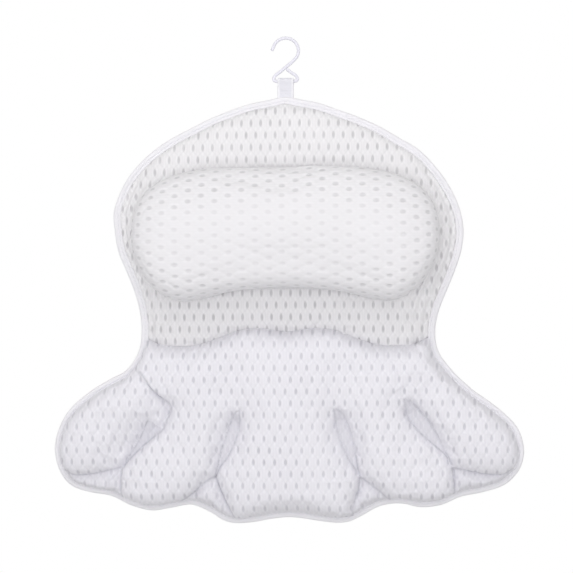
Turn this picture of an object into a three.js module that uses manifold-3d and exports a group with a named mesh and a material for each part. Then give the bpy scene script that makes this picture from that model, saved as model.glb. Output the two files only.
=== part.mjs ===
// Spa bath pillow of white air mesh, hanging from a wire hook.
// Millimetres, +Z up, +X to the right of the front view, the front faces -Y.
// Origin: the inner saddle of the hook, where the rail that holds it lies.

import * as THREE from 'three';
import { mergeVertices } from 'three/addons/utils/BufferGeometryUtils.js';
import Module from 'manifold-3d';

const wasm = await Module();
wasm.setup();

// Driving dimensions of the pad.
const PAD_WIDTH = 430;
const PAD_HEIGHT = 391;
const PAD_TOP_DROP = 52.8;
const NECK_DROP = 219.2;
const PIPING_DIAMETER = 7;
const CLEARANCE = 0.3;
const OVERRUN = 20;

// The front is the heavy side, so the hanging pad's foot swings back until its weight is under the hook.
const HANG_TILT_DEGREES = 5.6;

// Layers, counted from the plane of the edge seam.
const BACK_THICKNESS = 6;
const BACK_EDGE_BEVEL = 1.6;
const FRONT_THICKNESS = 2.5;
const HEAD_PANEL_HEIGHT = 14;
const YOKE_HEIGHT = 28;
const LOBE_HEIGHT = 31;
const WING_HEIGHT = 30;
const FILLING_EDGE = 0.8;
const PANEL_MARGIN = 2.2;

// Head cushion: its distance from the pad's top edge, its sides and the neck, and its depth.
const CUSHION_TOP_DROP = 64.2;
const CUSHION_SIDE_MARGIN = 19.9;
const CUSHION_NECK_MARGIN = 34.5;
const CUSHION_DEPTH = 58;
const CUSHION_CORD_DIAMETER = 3.6;

// Wire hook.
const WIRE_DIAMETER = 3;
const HOOK_RADIUS = 11.8;
const HOOK_BAR_DROP = 38.4;
const HOOK_BAR_HALF = 10.8;
const HOOK_TIP_FLARE = 1.2;
const HOOK_CORNER_RADIUS = 2.2;

// Webbing loop that holds the hook.
const WEBBING_WIDTH = 15;
const WEBBING_THICKNESS = 1.2;

// Suction cups and the eyelets that hold them.
const CUP_DIAMETER = 50;
const CUP_LIP_WIDTH = 2.6;
const CUP_WALL = 1.8;
const CUP_HOLLOW = 9.5;
const CUP_STUD_DIAMETER = 6;
const CUP_STUD_HEAD_DIAMETER = 14;
const CUP_STUD_HEAD_HEIGHT = 1.1;
const CUP_COLLAR_DIAMETER = 17;
const CUP_COLLAR_HEIGHT = 1.6;
const EYELET_FLANGE_DIAMETER = 19;
const EYELET_FLANGE_HEIGHT = 1;
const EYELET_WALL = 1.6;

// Counts that set how finely round shapes are cut.
const OUTLINE_STEPS = 72;
const PIPING_SIDES = 6;
const PANEL_STEPS = 48;
const PANEL_EDGE_FINENESS = 3;
const LOBE_STEPS = 24;
const CUSHION_STEPS = 30;
const ROUND_STEPS = 16;
const WIRE_SIDES = 8;
const WIRE_STEPS = 56;
const HOOK_ARC_STEPS = 12;
const LOOP_ARC_STEPS = 8;

// Outline of the pad: shares of the half width and of the height, from the middle of the top edge.
const OUTLINE_SHARES = [
  [0, 0], [0.126, 0.013], [0.233, 0.031], [0.326, 0.051], [0.405, 0.072], [0.488, 0.098],
  [0.574, 0.129], [0.66, 0.177], [0.707, 0.221], [0.74, 0.268], [0.745, 0.314], [0.733, 0.361],
  [0.702, 0.408], [0.668, 0.455], [0.64, 0.502], [0.628, 0.548], [0.64, 0.595], [0.696, 0.642],
  [0.753, 0.664], [0.83, 0.695], [0.915, 0.731], [0.951, 0.752], [0.984, 0.782], [1, 0.827],
  [0.995, 0.857], [0.971, 0.891], [0.919, 0.912], [0.83, 0.927], [0.735, 0.939], [0.651, 0.959],
  [0.577, 0.966], [0.488, 0.959], [0.409, 0.958], [0.335, 0.975], [0.27, 0.995], [0.2, 1],
  [0.107, 0.993], [0, 0.986],
];

// Where the tables put the neck's fold and the head's widest place, in the same shares.
const NECK_SHARE = 0.5606;
const HEAD_WIDTH_SHARE = 0.745;

// Wavy seam across the neck, in the same shares.
const NECK_SEAM_SHARES = [
  [0, 0.55], [0.08, 0.542], [0.159, 0.537], [0.234, 0.544], [0.328, 0.564], [0.422, 0.578],
  [0.501, 0.58], [0.59, 0.571], [0.66, 0.555],
];

// Stitch lines round each padded lobe, in the same shares.
const CENTRE_LOBE_SHARES = [
  [0, 0.568], [0.141, 0.568], [0.214, 0.586], [0.218, 0.683], [0.201, 0.734], [0.206, 0.767],
  [0.225, 0.806], [0.253, 0.836], [0.283, 0.865], [0.307, 0.89], [0.293, 0.921], [0.269, 0.951],
  [0.23, 0.972], [0.169, 0.978], [0.094, 0.973], [0, 0.965],
];
const MIDDLE_LOBE_SHARES = [
  [0.252, 0.583], [0.206, 0.612], [0.206, 0.678], [0.22, 0.729], [0.248, 0.76], [0.276, 0.798],
  [0.293, 0.849], [0.314, 0.882], [0.356, 0.902], [0.407, 0.923], [0.464, 0.936], [0.539, 0.938],
  [0.609, 0.938], [0.67, 0.927], [0.707, 0.905], [0.707, 0.877], [0.674, 0.847], [0.614, 0.819],
  [0.557, 0.788], [0.515, 0.749], [0.494, 0.709], [0.494, 0.657], [0.487, 0.615], [0.431, 0.597],
  [0.337, 0.585],
];
const WING_LOBE_SHARES = [
  [0.525, 0.604], [0.471, 0.622], [0.471, 0.67], [0.496, 0.711], [0.539, 0.757], [0.6, 0.796],
  [0.656, 0.829], [0.703, 0.857], [0.763, 0.87], [0.843, 0.881], [0.909, 0.877], [0.944, 0.855],
  [0.95, 0.822], [0.94, 0.79], [0.903, 0.757], [0.845, 0.727], [0.764, 0.695], [0.678, 0.668],
  [0.613, 0.637], [0.58, 0.606],
];
const YOKE_SHARES = [
  [0, 0.57], [0.281, 0.578], [0.445, 0.592], [0.53, 0.59], [0.574, 0.582], [0.578, 0.604],
  [0.6, 0.634], [0.65, 0.66], [0.715, 0.683], [0.64, 0.702], [0.5, 0.72], [0.351, 0.735],
  [0.206, 0.724], [0, 0.75],
];

// Where each lobe swells highest, and where each cup sits, in the same shares.
const CENTRE_LOBE_CENTRE_SHARE = [0, 0.79];
const MIDDLE_LOBE_CENTRE_SHARE = [0.43, 0.8];
const WING_LOBE_CENTRE_SHARE = [0.7, 0.76];
const YOKE_CENTRE_SHARE = [0, 0.65];
const HEAD_CENTRE_SHARE = [0, 0.31];
const HEAD_CUP_SHARES = [[-0.42, 0.29], [0.42, 0.29]];
const SHOULDER_CUP_SHARES = [[-0.7, 0.8], [-0.25, 0.69], [0.25, 0.69], [0.7, 0.8]];

// Outline of the head cushion: shares of its half width and height, from the middle of its top.
const CUSHION_SHARES = [
  [0, 0], [0.25, 0.004], [0.5, 0.025], [0.714, 0.075], [0.871, 0.166], [0.964, 0.299],
  [1, 0.49], [0.986, 0.647], [0.936, 0.788], [0.843, 0.921], [0.714, 1], [0.571, 0.996],
  [0.393, 0.959], [0.2, 0.929], [0, 0.921],
];
const CUSHION_CENTRE_SHARE = [0, 0.52];

// Swelling of a crowned pad: how far out each ring lies, as a share, and the power of its curve.
const LOBE_CROWN = { ringShares: [0.96, 0.86, 0.6], innerShares: [0.94, 0.65], power: 5 };
const PANEL_CROWN = { ringShares: [0.975, 0.92, 0.75], innerShares: [0.96, 0.82], power: 8 };
const SKIN_ROOT_SHARE = 0.8;

// Side view of the head cushion: [share of the reach, share of the depth] from seam to crown.
const CUSHION_PROFILE_SHARES = [
  [0.95, 0.1], [0.985, 0.2], [1, 0.34], [0.985, 0.5], [0.935, 0.67], [0.83, 0.82], [0.63, 0.93],
  [0.34, 0.99],
];
const CUSHION_SEAM_SHARE = 0.95;

// Wire hook: its bend as shares of a half turn, and where its shank and brace run.
const HOOK_BEND_SHARES = { first: 0.93, last: -0.14 };
const SHANK_TOP_SHARES = [0.52, 0.86];
const BRACE_MEETING_SHARE = 0.42;

// How much of a half turn the webbing wraps round the bar past its two sides.
const LOOP_WRAP_SHARE = 0.15;

// Bowl of a cup: [share of the radius, share of the depth], from the lip inwards.
const CUP_BOWL_SHARES = [[0.88, 0.4], [0.66, 0.72]];

// Colours and finish, read from the object.
const MESH_WHITE = new THREE.MeshStandardMaterial({ color: 0xf4f4f6, roughness: 0.9, metalness: 0 });
const CUSHION_WHITE = new THREE.MeshStandardMaterial({ color: 0xf1f1f2, roughness: 0.92, metalness: 0 });
const BACK_WHITE = new THREE.MeshStandardMaterial({ color: 0xeeeef1, roughness: 0.92, metalness: 0 });
const BINDING_WHITE = new THREE.MeshStandardMaterial({ color: 0xf6f6fa, roughness: 0.8, metalness: 0 });
const FIBRE_WHITE = new THREE.MeshStandardMaterial({ color: 0xf7f7f5, roughness: 1, metalness: 0 });
const WIRE_WHITE = new THREE.MeshStandardMaterial({ color: 0xe9e9f2, roughness: 0.3, metalness: 0.1 });
const WEBBING_WHITE = new THREE.MeshStandardMaterial({ color: 0xdfdfe4, roughness: 0.85, metalness: 0 });
const CUP_CLEAR = new THREE.MeshStandardMaterial({ color: 0xdde3e6, roughness: 0.2, metalness: 0 });
const EYELET_PLASTIC = new THREE.MeshStandardMaterial({ color: 0xf2f2f2, roughness: 0.45, metalness: 0 });

const PAD_HALF_WIDTH = PAD_WIDTH / 2;
const SEAM_GAP_HALF = CLEARANCE / 2;
const NECK_Z = -(PAD_TOP_DROP + NECK_DROP);
const PIPING_RADIUS = PIPING_DIAMETER / 2;
const BACK_OUTER_Y = SEAM_GAP_HALF + BACK_THICKNESS;
const COVER_INSET = PIPING_DIAMETER + CLEARANCE;
const CUSHION_WIDTH = 2 * (HEAD_WIDTH_SHARE * PAD_HALF_WIDTH - CUSHION_SIDE_MARGIN);
const CUSHION_HEIGHT = NECK_DROP - CUSHION_TOP_DROP - CUSHION_NECK_MARGIN;

// Places a share pair of the pad on the plane of the front view. The neck keeps its own drop.
function padPoint([across, down]) {
  const aboveNeck = Math.min(down, NECK_SHARE) / NECK_SHARE * NECK_DROP;
  const belowNeck = Math.max(down - NECK_SHARE, 0) / (1 - NECK_SHARE) * (PAD_HEIGHT - NECK_DROP);
  return new THREE.Vector2(across * PAD_HALF_WIDTH, -PAD_TOP_DROP - aboveNeck - belowNeck);
}

function cushionPoint([across, down]) {
  return new THREE.Vector2(
    across * CUSHION_WIDTH / 2,
    -PAD_TOP_DROP - CUSHION_TOP_DROP - down * CUSHION_HEIGHT,
  );
}

// Adds the mirrored half to points that run from one end of the middle line to the other.
function mirrored(points) {
  const onMiddle = (point) => point.x === 0;
  const other = points.filter((point) => !onMiddle(point));
  return points.concat(other.reverse().map((point) => new THREE.Vector2(-point.x, point.y)));
}

function flipped(points) {
  return points.map((point) => new THREE.Vector2(-point.x, point.y));
}

// A smooth closed line through the points, as evenly spaced corners.
function smoothLoop(points, steps) {
  const corners = points.map((point) => new THREE.Vector3(point.x, point.y, 0));
  const curve = new THREE.CatmullRomCurve3(corners, true, 'centripetal');
  const spaced = curve.getSpacedPoints(steps);
  spaced.pop();
  const loop = spaced.map((point) => new THREE.Vector2(point.x, point.y));
  return THREE.ShapeUtils.area(loop) < 0 ? loop.reverse() : loop;
}

// The direction out of a loop at each corner.
function outwardNormals(loop) {
  return loop.map((point, i) => {
    const before = loop[(i + loop.length - 1) % loop.length];
    const after = loop[(i + 1) % loop.length];
    return new THREE.Vector2(after.y - before.y, before.x - after.x).normalize();
  });
}

// The loop drawn in by a distance, or let out where it is negative.
function drawnIn(loop, distance) {
  const normals = outwardNormals(loop);
  return loop.map((point, i) => point.clone().addScaledVector(normals[i], -distance));
}

// A closed geometry from corners and triangles, turned so that its faces point out.
function closedGeometry(corners, triangles) {
  let volume = 0;
  const cross = new THREE.Vector3();
  for (const [a, b, c] of triangles) {
    volume += cross.crossVectors(corners[b], corners[c]).dot(corners[a]);
  }
  const facingOut = volume < 0 ? triangles.map(([a, b, c]) => [a, c, b]) : triangles;
  const geometry = new THREE.BufferGeometry();
  geometry.setAttribute(
    'position',
    new THREE.Float32BufferAttribute(corners.flatMap((corner) => corner.toArray()), 3),
  );
  geometry.setIndex(facingOut.flat());
  geometry.computeVertexNormals();
  return geometry;
}

// Triangles of the band between two rings of a body.
function bandTriangles(firstStart, secondStart, count) {
  const triangles = [];
  for (let i = 0; i < count; i += 1) {
    const next = (i + 1) % count;
    triangles.push([firstStart + i, firstStart + next, secondStart + next]);
    triangles.push([firstStart + i, secondStart + next, secondStart + i]);
  }
  return triangles;
}

// A body through rings of corners, closed by a tip at either end.
function loftedBody(firstTip, rings, lastTip) {
  const count = rings[0].length;
  const corners = [firstTip, ...rings.flat(), lastTip];
  const last = corners.length - 1;
  const triangles = [];
  for (let i = 0; i < count; i += 1) {
    const next = (i + 1) % count;
    triangles.push([0, 1 + next, 1 + i]);
    triangles.push([last, last - count + i, last - count + next]);
  }
  for (let ring = 0; ring + 1 < rings.length; ring += 1) {
    const start = 1 + ring * count;
    triangles.push(...bandTriangles(start, start + count, count));
  }
  return closedGeometry(corners, triangles);
}

// A closed loop of cord, from rings of corners round it.
function loopedCord(path, normals, radius, sides) {
  const corners = [];
  path.forEach((point, i) => {
    for (let side = 0; side < sides; side += 1) {
      const angle = (side + 1 / 2) / sides * Math.PI * 2;
      const out = Math.cos(angle) * radius;
      corners.push(new THREE.Vector3(
        point.x + normals[i].x * out,
        point.y + Math.sin(angle) * radius,
        point.z + normals[i].y * out,
      ));
    }
  });
  const triangles = [];
  path.forEach((point, i) => {
    const next = (i + 1) % path.length;
    triangles.push(...bandTriangles(i * sides, next * sides, sides));
  });
  return closedGeometry(corners, triangles);
}

function toSolid(geometry) {
  const bare = geometry.clone();
  for (const name of Object.keys(bare.attributes)) {
    if (name !== 'position') bare.deleteAttribute(name);
  }
  const merged = mergeVertices(bare);
  return new wasm.Manifold(new wasm.Mesh({
    numProp: 3,
    vertProperties: new Float32Array(merged.attributes.position.array),
    triVerts: new Uint32Array(merged.index.array),
  }));
}

function toGeometry(solid) {
  const mesh = solid.getMesh();
  const geometry = new THREE.BufferGeometry();
  geometry.setAttribute('position', new THREE.BufferAttribute(mesh.vertProperties, mesh.numProp));
  geometry.setIndex(new THREE.BufferAttribute(mesh.triVerts, 1));
  geometry.computeVertexNormals();
  return geometry;
}

// A flat slab of an outline, from one distance behind the seam plane to another.
function slab(loop, frontY, backY, bevel = 0) {
  const geometry = new THREE.ExtrudeGeometry(new THREE.Shape(loop), {
    depth: backY - frontY - 2 * bevel,
    bevelEnabled: bevel > 0,
    bevelThickness: bevel,
    bevelSize: bevel,
    bevelOffset: -bevel,
    bevelSegments: 1,
    steps: 1,
  });
  geometry.rotateX(Math.PI / 2);
  geometry.translate(0, backY - bevel, 0);
  return geometry;
}

function crownCurve(share, power) {
  return Math.sqrt(1 - share ** power);
}

// Heights of a crown's rings, from the height at its edge to the height at its middle.
function crownHeights(ringShares, power, edgeHeight, height) {
  return ringShares.map((share) => edgeHeight + (height - edgeHeight) * crownCurve(share, power));
}

// A pad swelling from an outline: flat at the back, steep at its edge, full in the middle.
function crownedPad(loop, centre, { backY, edgeHeight, ringShares, ringHeights, height }) {
  const ring = (share, y) => loop.map((point) => new THREE.Vector3(
    centre.x + (point.x - centre.x) * share,
    y,
    centre.y + (point.y - centre.y) * share,
  ));
  const rings = [ring(1, backY), ring(1, -edgeHeight)];
  ringShares.forEach((share, i) => rings.push(ring(share, -ringHeights[i])));
  return loftedBody(
    new THREE.Vector3(centre.x, backY, centre.y),
    rings,
    new THREE.Vector3(centre.x, -height, centre.y),
  );
}

// The three skins of one padded chamber: cover outside, cover inside, and the filling.
function chamber(loop, centre, height, crown) {
  const { ringShares, innerShares, power } = crown;
  const outerEdge = FRONT_THICKNESS * SKIN_ROOT_SHARE;
  const innerHeight = height - FRONT_THICKNESS;
  const innerHeights = crownHeights(innerShares, power, 0, innerHeight);
  const fillingEdge = SEAM_GAP_HALF + FILLING_EDGE;
  return {
    outside: crownedPad(loop, centre, {
      backY: -outerEdge / 2,
      edgeHeight: outerEdge,
      ringShares,
      ringHeights: crownHeights(ringShares, power, outerEdge, height),
      height,
    }),
    inside: crownedPad(drawnIn(loop, FRONT_THICKNESS), centre, {
      backY: FRONT_THICKNESS,
      edgeHeight: 0,
      ringShares: innerShares,
      ringHeights: innerHeights,
      height: innerHeight,
    }),
    filling: crownedPad(drawnIn(loop, FRONT_THICKNESS + CLEARANCE + FILLING_EDGE), centre, {
      backY: -SEAM_GAP_HALF,
      edgeHeight: fillingEdge,
      ringShares: innerShares,
      ringHeights: innerHeights.map((inner) => Math.max(inner - CLEARANCE, fillingEdge + FILLING_EDGE)),
      height: innerHeight - CLEARANCE,
    }),
  };
}

function mesh(name, geometry, material) {
  const piece = new THREE.Mesh(geometry, material);
  piece.name = name;
  return piece;
}

// The pad's outline and the parts of space above and below the neck.
const padLoop = smoothLoop(mirrored(OUTLINE_SHARES.map(padPoint)), OUTLINE_STEPS);
const coverLoop = drawnIn(padLoop, COVER_INSET);

function sideOfNeck(above) {
  const box = new THREE.BoxGeometry(
    PAD_WIDTH + 2 * OVERRUN,
    2 * (CUSHION_DEPTH + OVERRUN),
    PAD_HEIGHT + OVERRUN,
  );
  const away = (PAD_HEIGHT + OVERRUN) / 2 + SEAM_GAP_HALF;
  box.translate(0, 0, NECK_Z + (above ? away : -away));
  return toSolid(box);
}

const headSide = sideOfNeck(true);
const shoulderSide = sideOfNeck(false);

// The head panel's stitch line: the pad's edge above the neck seam, closed along the seam.
function headPanelLoop() {
  const edge = drawnIn(
    smoothLoop(mirrored(OUTLINE_SHARES.map(padPoint)), PANEL_STEPS * PANEL_EDGE_FINENESS),
    COVER_INSET + PANEL_MARGIN,
  );
  const floor = NECK_Z + SEAM_GAP_HALF + PANEL_MARGIN;
  const seam = NECK_SEAM_SHARES.map(padPoint).map((point) => new THREE.Vector2(
    point.x,
    Math.max(point.y + PANEL_MARGIN, floor),
  ));
  const top = edge.filter((point) => point.y > floor);
  const right = top.filter((point) => point.x > -CLEARANCE).sort((a, b) => b.y - a.y || a.x - b.x);
  const reach = right[right.length - 1].x - PANEL_MARGIN;
  const bottom = seam.filter((point) => point.x < reach).reverse();
  const down = right.filter((point, i) => i % PANEL_EDGE_FINENESS === 0);
  down[0].x = 0;
  return smoothLoop(mirrored([...down, ...bottom]), PANEL_STEPS);
}

// The wire's route: from the open tip over the bend, down the shank, along the bar and up the brace.
function hookPath() {
  const centre = new THREE.Vector2(0, WIRE_DIAMETER / 2 - HOOK_RADIUS);
  const points = [new THREE.Vector2(centre.x - HOOK_RADIUS - HOOK_TIP_FLARE, centre.y)];
  for (let i = 0; i <= HOOK_ARC_STEPS; i += 1) {
    const { first, last } = HOOK_BEND_SHARES;
    const angle = Math.PI * (first + (last - first) * i / HOOK_ARC_STEPS);
    points.push(new THREE.Vector2(
      centre.x + HOOK_RADIUS * Math.cos(angle),
      centre.y + HOOK_RADIUS * Math.sin(angle),
    ));
  }
  const [shankAcross, shankDown] = SHANK_TOP_SHARES;
  const cornerX = HOOK_BAR_HALF - HOOK_CORNER_RADIUS / 3;
  const cornerTop = -HOOK_BAR_DROP + 2 * HOOK_CORNER_RADIUS;
  const shankHigh = new THREE.Vector2(HOOK_RADIUS * shankAcross, centre.y - HOOK_RADIUS * shankDown);
  const shankLow = new THREE.Vector2(-cornerX, cornerTop);
  for (const share of [0, 1 / 3, 2 / 3, 1]) points.push(shankHigh.clone().lerp(shankLow, share));
  for (const side of [-1, 0, 1]) {
    const cornerLow = new THREE.Vector2(side * HOOK_BAR_HALF, -HOOK_BAR_DROP + HOOK_CORNER_RADIUS / 2);
    const onBar = new THREE.Vector2(side * (HOOK_BAR_HALF - HOOK_CORNER_RADIUS), -HOOK_BAR_DROP);
    if (side < 0) points.push(cornerLow);
    points.push(onBar);
    if (side > 0) points.push(cornerLow);
  }
  const braceLow = new THREE.Vector2(cornerX, cornerTop);
  const toMeeting = shankHigh.clone().lerp(shankLow, BRACE_MEETING_SHARE).sub(braceLow);
  const stop = toMeeting.length() - WIRE_DIAMETER - CLEARANCE;
  const braceHigh = braceLow.clone().addScaledVector(toMeeting.normalize(), stop);
  for (const share of [0, 1 / 2, 1]) points.push(braceLow.clone().lerp(braceHigh, share));
  const route = points.map((point) => new THREE.Vector3(point.x, 0, point.y));
  return new THREE.CatmullRomCurve3(route, false, 'centripetal');
}

function wireHook() {
  const section = new THREE.Shape();
  section.absarc(0, 0, WIRE_DIAMETER / 2, 0, Math.PI * 2);
  const geometry = new THREE.ExtrudeGeometry(section, {
    steps: WIRE_STEPS,
    extrudePath: hookPath(),
    curveSegments: WIRE_SIDES / 2,
    bevelEnabled: false,
  });
  return mesh('wire_hook', geometry, WIRE_WHITE);
}

// Webbing folded over the hook's bar, its two ends together in a flat tab.
function hangingLoop() {
  const eye = WIRE_DIAMETER / 2 + CLEARANCE;
  const outer = eye + WEBBING_THICKNESS;
  const tabHalf = WEBBING_THICKNESS;
  const tabTop = -HOOK_BAR_DROP - 2 * outer;
  const tabBottom = -PAD_TOP_DROP + CLEARANCE;
  const section = new THREE.Shape();
  section.moveTo(-tabHalf, tabBottom);
  section.lineTo(tabHalf, tabBottom);
  section.lineTo(tabHalf, tabTop);
  for (let i = 0; i <= LOOP_ARC_STEPS; i += 1) {
    const angle = Math.PI * (i / LOOP_ARC_STEPS * (1 + 2 * LOOP_WRAP_SHARE) - LOOP_WRAP_SHARE);
    section.lineTo(Math.cos(angle) * outer, -HOOK_BAR_DROP + Math.sin(angle) * outer);
  }
  section.lineTo(-tabHalf, tabTop);
  section.closePath();
  const hole = new THREE.Path();
  const holeSteps = 2 * LOOP_ARC_STEPS;
  hole.moveTo(eye, -HOOK_BAR_DROP);
  for (let i = 1; i < holeSteps; i += 1) {
    const angle = Math.PI * 2 * i / holeSteps;
    hole.lineTo(Math.cos(angle) * eye, -HOOK_BAR_DROP + Math.sin(angle) * eye);
  }
  hole.closePath();
  section.holes.push(hole);
  const geometry = new THREE.ExtrudeGeometry(section, { depth: WEBBING_WIDTH, bevelEnabled: false });
  geometry.translate(0, 0, -WEBBING_WIDTH / 2);
  geometry.rotateX(Math.PI / 2);
  geometry.rotateZ(Math.PI / 2);
  return mesh('hanging_loop', geometry, WEBBING_WHITE);
}

// Edge piping, cut in two at the neck.
function pipingPieces() {
  const line = drawnIn(padLoop, PIPING_RADIUS);
  const path = line.map((point) => new THREE.Vector3(point.x, 0, point.y));
  const cord = toSolid(loopedCord(path, outwardNormals(line), PIPING_RADIUS, PIPING_SIDES));
  return [
    mesh('head_edge_piping', toGeometry(cord.intersect(headSide)), BINDING_WHITE),
    mesh('shoulder_edge_piping', toGeometry(cord.intersect(shoulderSide)), BINDING_WHITE),
  ];
}

// The levels of a cup and its eyelet, counted from the seam plane towards the back.
const STUD_FRONT_Y = SEAM_GAP_HALF + CLEARANCE;
const EYELET_INNER_Y = STUD_FRONT_Y + CUP_STUD_HEAD_HEIGHT + CLEARANCE;
const EYELET_OUTER_Y = BACK_OUTER_Y + CLEARANCE;
const COLLAR_Y = EYELET_OUTER_Y + EYELET_FLANGE_HEIGHT + CLEARANCE;
const EYELET_BORE_RADIUS = CUP_STUD_DIAMETER / 2 + CLEARANCE * 2;
const EYELET_BARREL_RADIUS = EYELET_BORE_RADIUS + EYELET_WALL;

// A turned piece whose axis runs from front to back, from [radius, y] corners.
function turned(profile, place) {
  const line = profile.map(([radius, y]) => new THREE.Vector2(radius, y));
  const geometry = new THREE.LatheGeometry(line, ROUND_STEPS);
  geometry.translate(place.x, 0, place.y);
  return geometry;
}

function suctionCup(name, place) {
  const radius = CUP_DIAMETER / 2;
  const collar = CUP_COLLAR_DIAMETER / 2;
  const stud = CUP_STUD_DIAMETER / 2;
  const head = CUP_STUD_HEAD_DIAMETER / 2;
  const crownY = COLLAR_Y + CUP_COLLAR_HEIGHT;
  const floorY = crownY + CUP_WALL;
  const lipY = floorY + CUP_HOLLOW;
  const hollow = radius - CUP_LIP_WIDTH;
  const bowl = CUP_BOWL_SHARES.map(([across, deep]) => [hollow * across, lipY - CUP_HOLLOW * deep]);
  const outerBowl = bowl.map(([across, y]) => [across + CUP_WALL / 2, y - CUP_WALL]).reverse();
  const geometry = turned([
    [0, STUD_FRONT_Y],
    [head, STUD_FRONT_Y],
    [head, STUD_FRONT_Y + CUP_STUD_HEAD_HEIGHT],
    [stud, STUD_FRONT_Y + CUP_STUD_HEAD_HEIGHT],
    [stud, COLLAR_Y],
    [collar, COLLAR_Y],
    [collar, crownY],
    ...outerBowl,
    [radius, lipY - CUP_WALL],
    [radius, lipY],
    [hollow, lipY],
    ...bowl,
    [0, floorY],
  ], place);
  return mesh(name, geometry, CUP_CLEAR);
}

function cupEyelet(name, place) {
  const flange = EYELET_FLANGE_DIAMETER / 2;
  const innerBackY = EYELET_INNER_Y + EYELET_FLANGE_HEIGHT;
  const outerBackY = EYELET_OUTER_Y + EYELET_FLANGE_HEIGHT;
  const geometry = turned([
    [EYELET_BORE_RADIUS, EYELET_INNER_Y],
    [flange, EYELET_INNER_Y],
    [flange, innerBackY],
    [EYELET_BARREL_RADIUS, innerBackY],
    [EYELET_BARREL_RADIUS, EYELET_OUTER_Y],
    [flange, EYELET_OUTER_Y],
    [flange, outerBackY],
    [EYELET_BORE_RADIUS, outerBackY],
    [EYELET_BORE_RADIUS, EYELET_INNER_Y],
  ], place);
  return mesh(name, geometry, EYELET_PLASTIC);
}

// The room that one eyelet and the stud's head need in the back cover.
function eyeletRoom(place) {
  const barrel = EYELET_BARREL_RADIUS + CLEARANCE;
  const flange = EYELET_FLANGE_DIAMETER / 2 + CLEARANCE;
  const pocketY = EYELET_INNER_Y + EYELET_FLANGE_HEIGHT + CLEARANCE;
  return toSolid(turned([
    [0, -OVERRUN],
    [flange, -OVERRUN],
    [flange, pocketY],
    [barrel, pocketY],
    [barrel, OVERRUN],
    [0, OVERRUN],
  ], place));
}

function backCover(name, side, places) {
  const whole = toSolid(slab(coverLoop, SEAM_GAP_HALF, BACK_OUTER_Y, BACK_EDGE_BEVEL));
  let cover = whole.intersect(side);
  for (const place of places) cover = cover.subtract(eyeletRoom(place));
  return mesh(name, toGeometry(cover), BACK_WHITE);
}

function frontSkin(side) {
  const whole = toSolid(slab(coverLoop, -SEAM_GAP_HALF - FRONT_THICKNESS, -SEAM_GAP_HALF));
  return whole.intersect(side);
}

// Everything in front of the seam plane's gap, where the front pieces may reach.
function inFront(solid) {
  const reach = CUSHION_DEPTH + OVERRUN;
  const box = new THREE.BoxGeometry(PAD_WIDTH + 2 * OVERRUN, 2 * reach, 2 * (PAD_HEIGHT + PAD_TOP_DROP));
  box.translate(0, -SEAM_GAP_HALF - reach, 0);
  return solid.intersect(toSolid(box));
}

function headPieces() {
  const loop = headPanelLoop();
  const centre = padPoint(HEAD_CENTRE_SHARE);
  const panel = chamber(loop, centre, HEAD_PANEL_HEIGHT, PANEL_CROWN);
  const outside = toSolid(panel.outside);
  const cover = inFront(frontSkin(headSide).add(outside).subtract(toSolid(panel.inside)));
  const clearHeight = HEAD_PANEL_HEIGHT + CLEARANCE;
  const clearEdge = FRONT_THICKNESS + CLEARANCE;
  const clearOfPanel = toSolid(crownedPad(drawnIn(loop, -CLEARANCE), centre, {
    backY: OVERRUN,
    edgeHeight: clearEdge,
    ringShares: PANEL_CROWN.ringShares,
    ringHeights: crownHeights(PANEL_CROWN.ringShares, PANEL_CROWN.power, clearEdge, clearHeight),
    height: clearHeight,
  }));
  return [
    mesh('head_front_cover', toGeometry(cover), MESH_WHITE),
    mesh('head_panel_filling', panel.filling, FIBRE_WHITE),
    ...headCushionPieces(clearOfPanel),
  ];
}

// A dome that bulges past its own seam, from its base to its crown.
function cushionDome(loop, centre, depth) {
  const front = -HEAD_PANEL_HEIGHT;
  const ring = (share, y) => loop.map((point) => new THREE.Vector3(
    centre.x + (point.x - centre.x) * share,
    y,
    centre.y + (point.y - centre.y) * share,
  ));
  const rings = [ring(CUSHION_SEAM_SHARE, 0)];
  for (const [reach, rise] of CUSHION_PROFILE_SHARES) rings.push(ring(reach, front - depth * rise));
  return loftedBody(
    new THREE.Vector3(centre.x, 0, centre.y),
    rings,
    new THREE.Vector3(centre.x, front - depth, centre.y),
  );
}

function headCushionPieces(clearOfPanel) {
  const loop = smoothLoop(mirrored(CUSHION_SHARES.map(cushionPoint)), CUSHION_STEPS);
  const centre = cushionPoint(CUSHION_CENTRE_SHARE);
  const within = (distance) => cushionDome(drawnIn(loop, distance), centre, CUSHION_DEPTH - distance);
  const outer = toSolid(within(0));
  const inner = toSolid(within(FRONT_THICKNESS));
  const filling = toSolid(within(FRONT_THICKNESS + CLEARANCE));
  const seam = loop.map((point) => point.clone().sub(centre).multiplyScalar(CUSHION_SEAM_SHARE).add(centre));
  const cordLoop = drawnIn(seam, -CUSHION_CORD_DIAMETER / 2 - CLEARANCE);
  const path = cordLoop.map((point) => new THREE.Vector3(point.x, -HEAD_PANEL_HEIGHT, point.y));
  const sides = PIPING_SIDES;
  const cord = toSolid(loopedCord(path, outwardNormals(cordLoop), CUSHION_CORD_DIAMETER / 2, sides));
  const clearOfCushion = toSolid(within(-CLEARANCE));
  return [
    mesh('head_cushion_cover', toGeometry(outer.subtract(inner).subtract(clearOfPanel)), CUSHION_WHITE),
    mesh('head_cushion_filling', toGeometry(filling.subtract(clearOfPanel)), FIBRE_WHITE),
    mesh(
      'head_cushion_seam_cord',
      toGeometry(cord.subtract(clearOfPanel).subtract(clearOfCushion)),
      BINDING_WHITE,
    ),
  ];
}

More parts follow.
